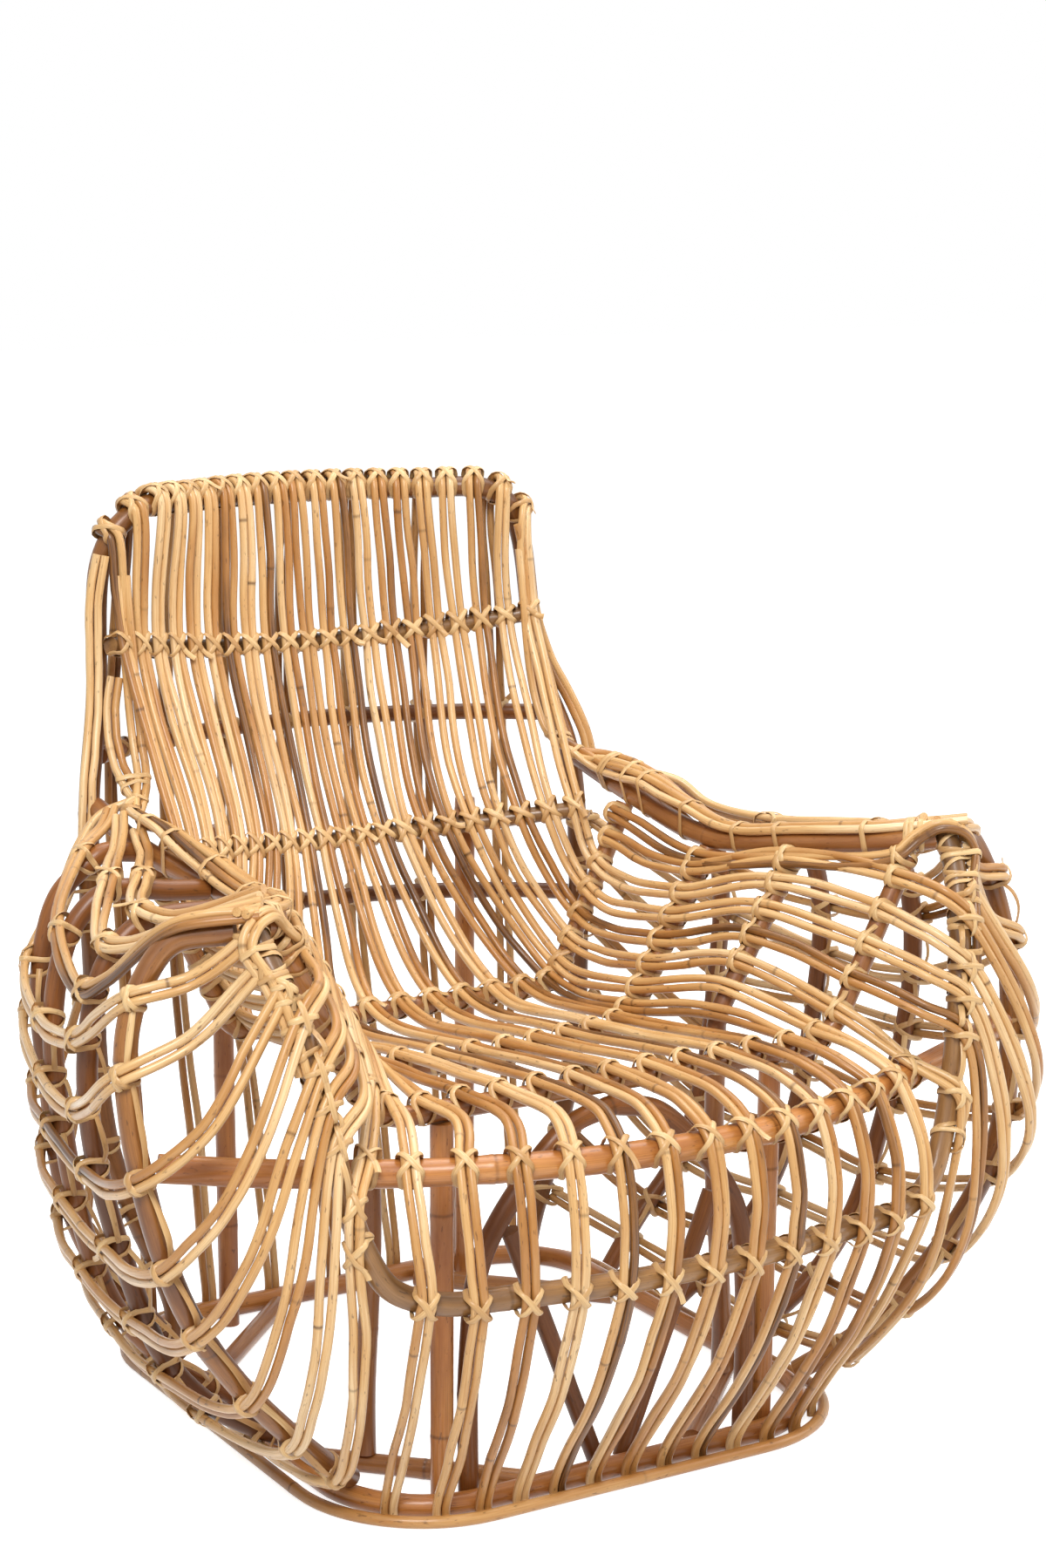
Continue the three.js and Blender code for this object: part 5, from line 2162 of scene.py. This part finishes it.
    def band_along(self, wraps: Bindings, pole: Pole, places: Sequence[float],
                   strands: Sequence[Strand]) -> None:
        """Binds the rods that lie along a pole with single strips.

        Args:
            wraps: Where the strips go.
            pole: The pole, on the strands' own side of the chair.
            places: Distances along the pole.
            strands: The strands that lie along it.
        """
        for s in places:
            spot = pole.spot_at(s)
            rods = []
            for strand in strands:
                apart = strand.line.points - spot.point
                gaps = np.dot(apart, spot.along)
                near = int(np.argmin(np.abs(gaps) + self.band_pull * np.linalg.norm(apart, axis=1)))
                if abs(gaps[near]) < self.band_near:
                    rods += strand.rods_at(float(strand.line.reach[near]))
            wraps.band(spot, rods)

    def knot(self, wraps: Bindings, strands: Sequence[Strand]) -> None:
        """Binds strands together with single strips, where they come down behind the arm.

        Args:
            wraps: Where the strips go.
            strands: The strands, which pass each of the knot's heights there once.
        """
        for z in self.knot_heights:
            rods, ways = [], []
            for strand in strands:
                points = strand.line.points
                far = np.where(points[:, Y] < self.knot_y, np.inf, np.abs(points[:, Z] - z))
                s = float(strand.line.reach[int(np.argmin(far))])
                rods += strand.rods_at(s)
                ways.append(strand.line.way(s))
            centre = np.mean([point for point, _ in rods], axis=0)
            wraps.band(Spot(centre, unit(np.sum(ways, axis=0)), self.knot_core), rods)

    def run_on(self, wraps: Bindings, pole: Pole, heights: Sequence[float], start: float, side: Side) -> None:
        """Carries strips along an arm's pole from each binding to the next.

        Args:
            wraps: Where the strips go.
            pole: The pole on the right side.
            heights: Heights of the bindings.
            start: Where along the pole the bindings start.
            side: The side of the chair.
        """
        flip = side.flip
        spots = [pole.spot(Z, z, start) for z in sorted(heights)]
        for low, high in zip(spots, spots[1:]):
            rise = unit(high.point - low.point)
            away = square_to(rise, vec(wraps.rng.uniform(*self.run_on_sway), -1, 0))
            ends = tuple(
                (spot.point + away * (spot.radius + self.run_on_lift) + rise * reach) * flip
                for spot, reach in ((low, self.run_on_gap), (high, -self.run_on_gap)))
            wraps.runner(ends, away * flip)

    def dress_arm(self, shop: Shop, side: Side, loops: Sequence[Strand]) -> None:
        """Makes the rods over an arm's top, and binds everything on that arm.

        Args:
            shop: Where the pieces are made.
            side: The side of the chair.
            loops: The strands round the arm, which are made already.
        """
        shoulders = [self.shoulder_strand(i, side) for i in range(len(self.left_shoulders))]
        shoulders.append(self.edge_strand(side))
        along = self.rail_strands(side)
        inner = self.inner_strand(side)
        for strand in (*shoulders, *along, inner):
            strand.build(shop)
        self.bind(shop, f"arm_bindings_{side.label}", [*loops, *shoulders, inner])
        wraps = Bindings(f"arm_wraps_{side.label}")
        rail = self.arm_rail.placed(side)
        length = rail.line.length
        spread = np.linspace(*self.spread_shares, self.spread_bands) * length
        spread = spread + wraps.rng.uniform(-self.spread_stray, self.spread_stray, self.spread_bands)
        ends = [length - distance for distance in self.rail_end_bands]
        self.band_along(wraps, rail, [*spread, *self.rail_bands, *ends], along)
        hoop = self.front_hoop.placed(side)
        turns = [hoop.line.crossing(Z, z, self.hoop_start) for z in self.hoop_bands]
        self.band_along(wraps, hoop, turns, [inner])
        self.knot(wraps, along)
        for index, pole in enumerate(self.sides):
            heights = [level.sides[index] for level in self.levels]
            self.run_on(wraps, pole, heights, pole.line.knots[self.shoulder_knot], side)
        self.run_on(wraps, self.corner, [level.corner for level in self.levels], self.corner_start, side)
        lower = [level.hoop for level in self.levels[:self.arm_strands + 1]]
        self.run_on(wraps, self.front_hoop, lower, self.hoop_start, side)
        wraps.deliver(shop)

    def bind(self, shop: Shop, name: str, strands: Sequence[Strand]) -> None:
        """Binds a group of strands wherever they cross a pole.

        Args:
            shop: Where the pieces are made.
            name: The name of the piece.
            strands: The strands.
        """
        ties = Bindings(name)
        for strand in strands:
            for index, station in enumerate(strand.stations):
                if station.spot is not None:
                    ties.tie(strand, index)
        ties.deliver(shop)

    def build(self, shop: Shop) -> None:
        """Makes every strand, then the bindings.

        Args:
            shop: Where the pieces are made.
        """
        seat = [self.seat_strand(k) for k in range(-self.half_count, self.half_count + 1)]
        for strand in seat:
            strand.build(shop, strand.name)
        self.bind(shop, "seat_bindings", seat)
        for side in Side:
            strands = [self.arm_strand(i, side) for i in range(self.arm_strands + 1)]
            strands.append(Strand(f"arm_loop_{side.label}", self.loop_stations(self.arm_strands + 1), side))
            for strand in strands:
                strand.build(shop, strand.name)
            upper = [Strand(f"upper_arm_loop_{side.label}_{i}", self.loop_stations(i), side)
                     for i in range(self.upper_loops, len(self.levels))]
            for strand in upper:
                strand.build(shop)
            self.dress_arm(shop, side, strands + upper)


@dataclass
class Studio:
    """The white floor and surroundings, the soft lights and the camera."""

    target: Place = (0.0, 0.09, 0.36)
    azimuth: float = -30.244
    elevation: float = 15.799
    distance: float = 3.0879
    focal_px: float = 3433.5
    image: tuple[int, int] = (1200, 1799)
    centre_px: Pair = (515.0, 1192.0)
    sensor: float = 36.0
    floor_size: float = 40.0
    floor_paint: float = 0.8
    floor_glow: float = 0.82
    soft_light: float = 0.29
    lit_height: float = 0.4

    def camera(self, shift: float) -> None:
        """Places the camera where the photograph was taken from.

        Args:
            shift: How far the chair is moved along Y, in metres.
        """
        az, el = math.radians(self.azimuth), math.radians(self.elevation)
        back = Vector((math.sin(az) * math.cos(el), -math.cos(az) * math.cos(el), math.sin(el)))
        data = bpy.data.cameras.new("camera")
        width, height = self.image
        data.sensor_width = self.sensor
        data.sensor_fit = "AUTO"
        data.lens = self.focal_px / height * self.sensor
        data.shift_x = (width / 2 - self.centre_px[0]) / height
        data.shift_y = (self.centre_px[1] - height / 2) / height
        data.clip_end = 100.0
        camera = linked("camera", data)
        camera.location = Vector(self.target) + Vector((0, shift, 0)) + back * self.distance
        camera.rotation_euler = back.to_track_quat("Z", "Y").to_euler()
        bpy.context.scene.camera = camera

    def floor(self) -> None:
        """Lays a white floor that still takes the chair's shadow."""
        bpy.ops.object.select_all(action="DESELECT")
        bpy.ops.mesh.primitive_plane_add(size=self.floor_size)
        floor = bpy.context.object
        floor.name = "floor"
        graph = Graph(bpy.data.materials.new("white_floor"))
        paint = graph.add("ShaderNodeBsdfDiffuse", {"Color": (*[self.floor_paint] * 3, 1.0)})
        glow = graph.math("MULTIPLY", graph.looked_at(), self.floor_glow)
        lift = graph.add("ShaderNodeEmission", {"Color": WHITE, "Strength": glow})
        both = graph.add("ShaderNodeAddShader", {0: paint.outputs[0], 1: lift.outputs[0]})
        floor.data.materials.append(graph.finish(both.outputs[0]))

    def world(self) -> None:
        """Surrounds the chair with white that lights it softly."""
        graph = Graph(bpy.data.worlds.new("studio"))
        soft = graph.add("ShaderNodeBackground", {"Color": WHITE, "Strength": self.soft_light})
        white = graph.add("ShaderNodeBackground", {"Color": WHITE, "Strength": 1.0})
        both = graph.add("ShaderNodeMixShader", {
            0: graph.looked_at(), 1: soft.outputs[0], 2: white.outputs[0],
        })
        bpy.context.scene.world = graph.finish(both.outputs[0], "ShaderNodeOutputWorld")

    def lamp(self, name: str, place: Place, size: float, power: float) -> None:
        """Hangs a large soft lamp that points at the chair.

        Args:
            name: The lamp's name.
            place: Where it hangs, in metres.
            size: Width of its square face.
            power: Its power in watts.
        """
        data = bpy.data.lights.new(name, "AREA")
        data.shape = "SQUARE"
        data.size = size
        data.energy = power
        lamp = linked(name, data)
        lamp.location = place
        back = Vector(place) - Vector((0.0, 0.0, self.lit_height))
        lamp.rotation_euler = back.to_track_quat("Z", "Y").to_euler()

    def build(self, shift: float) -> None:
        """Sets up the whole studio.

        Args:
            shift: How far the chair is moved along Y, in metres.
        """
        self.camera(shift)
        self.floor()
        self.world()
        self.lamp("key_lamp", (-1.6, -2.2, 3.0), 1.5, 120.0)
        self.lamp("top_lamp", (0.6, 0.3, 3.2), 2.2, 60.0)
        self.lamp("fill_lamp", (2.6, -1.6, 1.8), 2.0, 36.0)
        bpy.context.scene.view_settings.view_transform = "Standard"
        LOG.info("studio: camera, floor, world and three lamps")


def main() -> None:
    """Loads the frame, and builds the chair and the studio."""
    logging.basicConfig(level=logging.INFO, format="%(name)s %(message)s")
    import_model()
    weave = Weave()
    low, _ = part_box("base_ring")
    shift = float(low[1]) - (BASE.front_y - GAUGE.pole / 2) * MM
    shop = Shop(shift)
    Studio().build(shift)
    BASE.build(shop)
    SEAT.build(shop, weave.arm_rail)
    BACK.build(shop)
    FRONT.build(shop, weave.corner)
    ARM.build(shop)
    weave.build(shop)


if __name__ == "__main__":
    main()
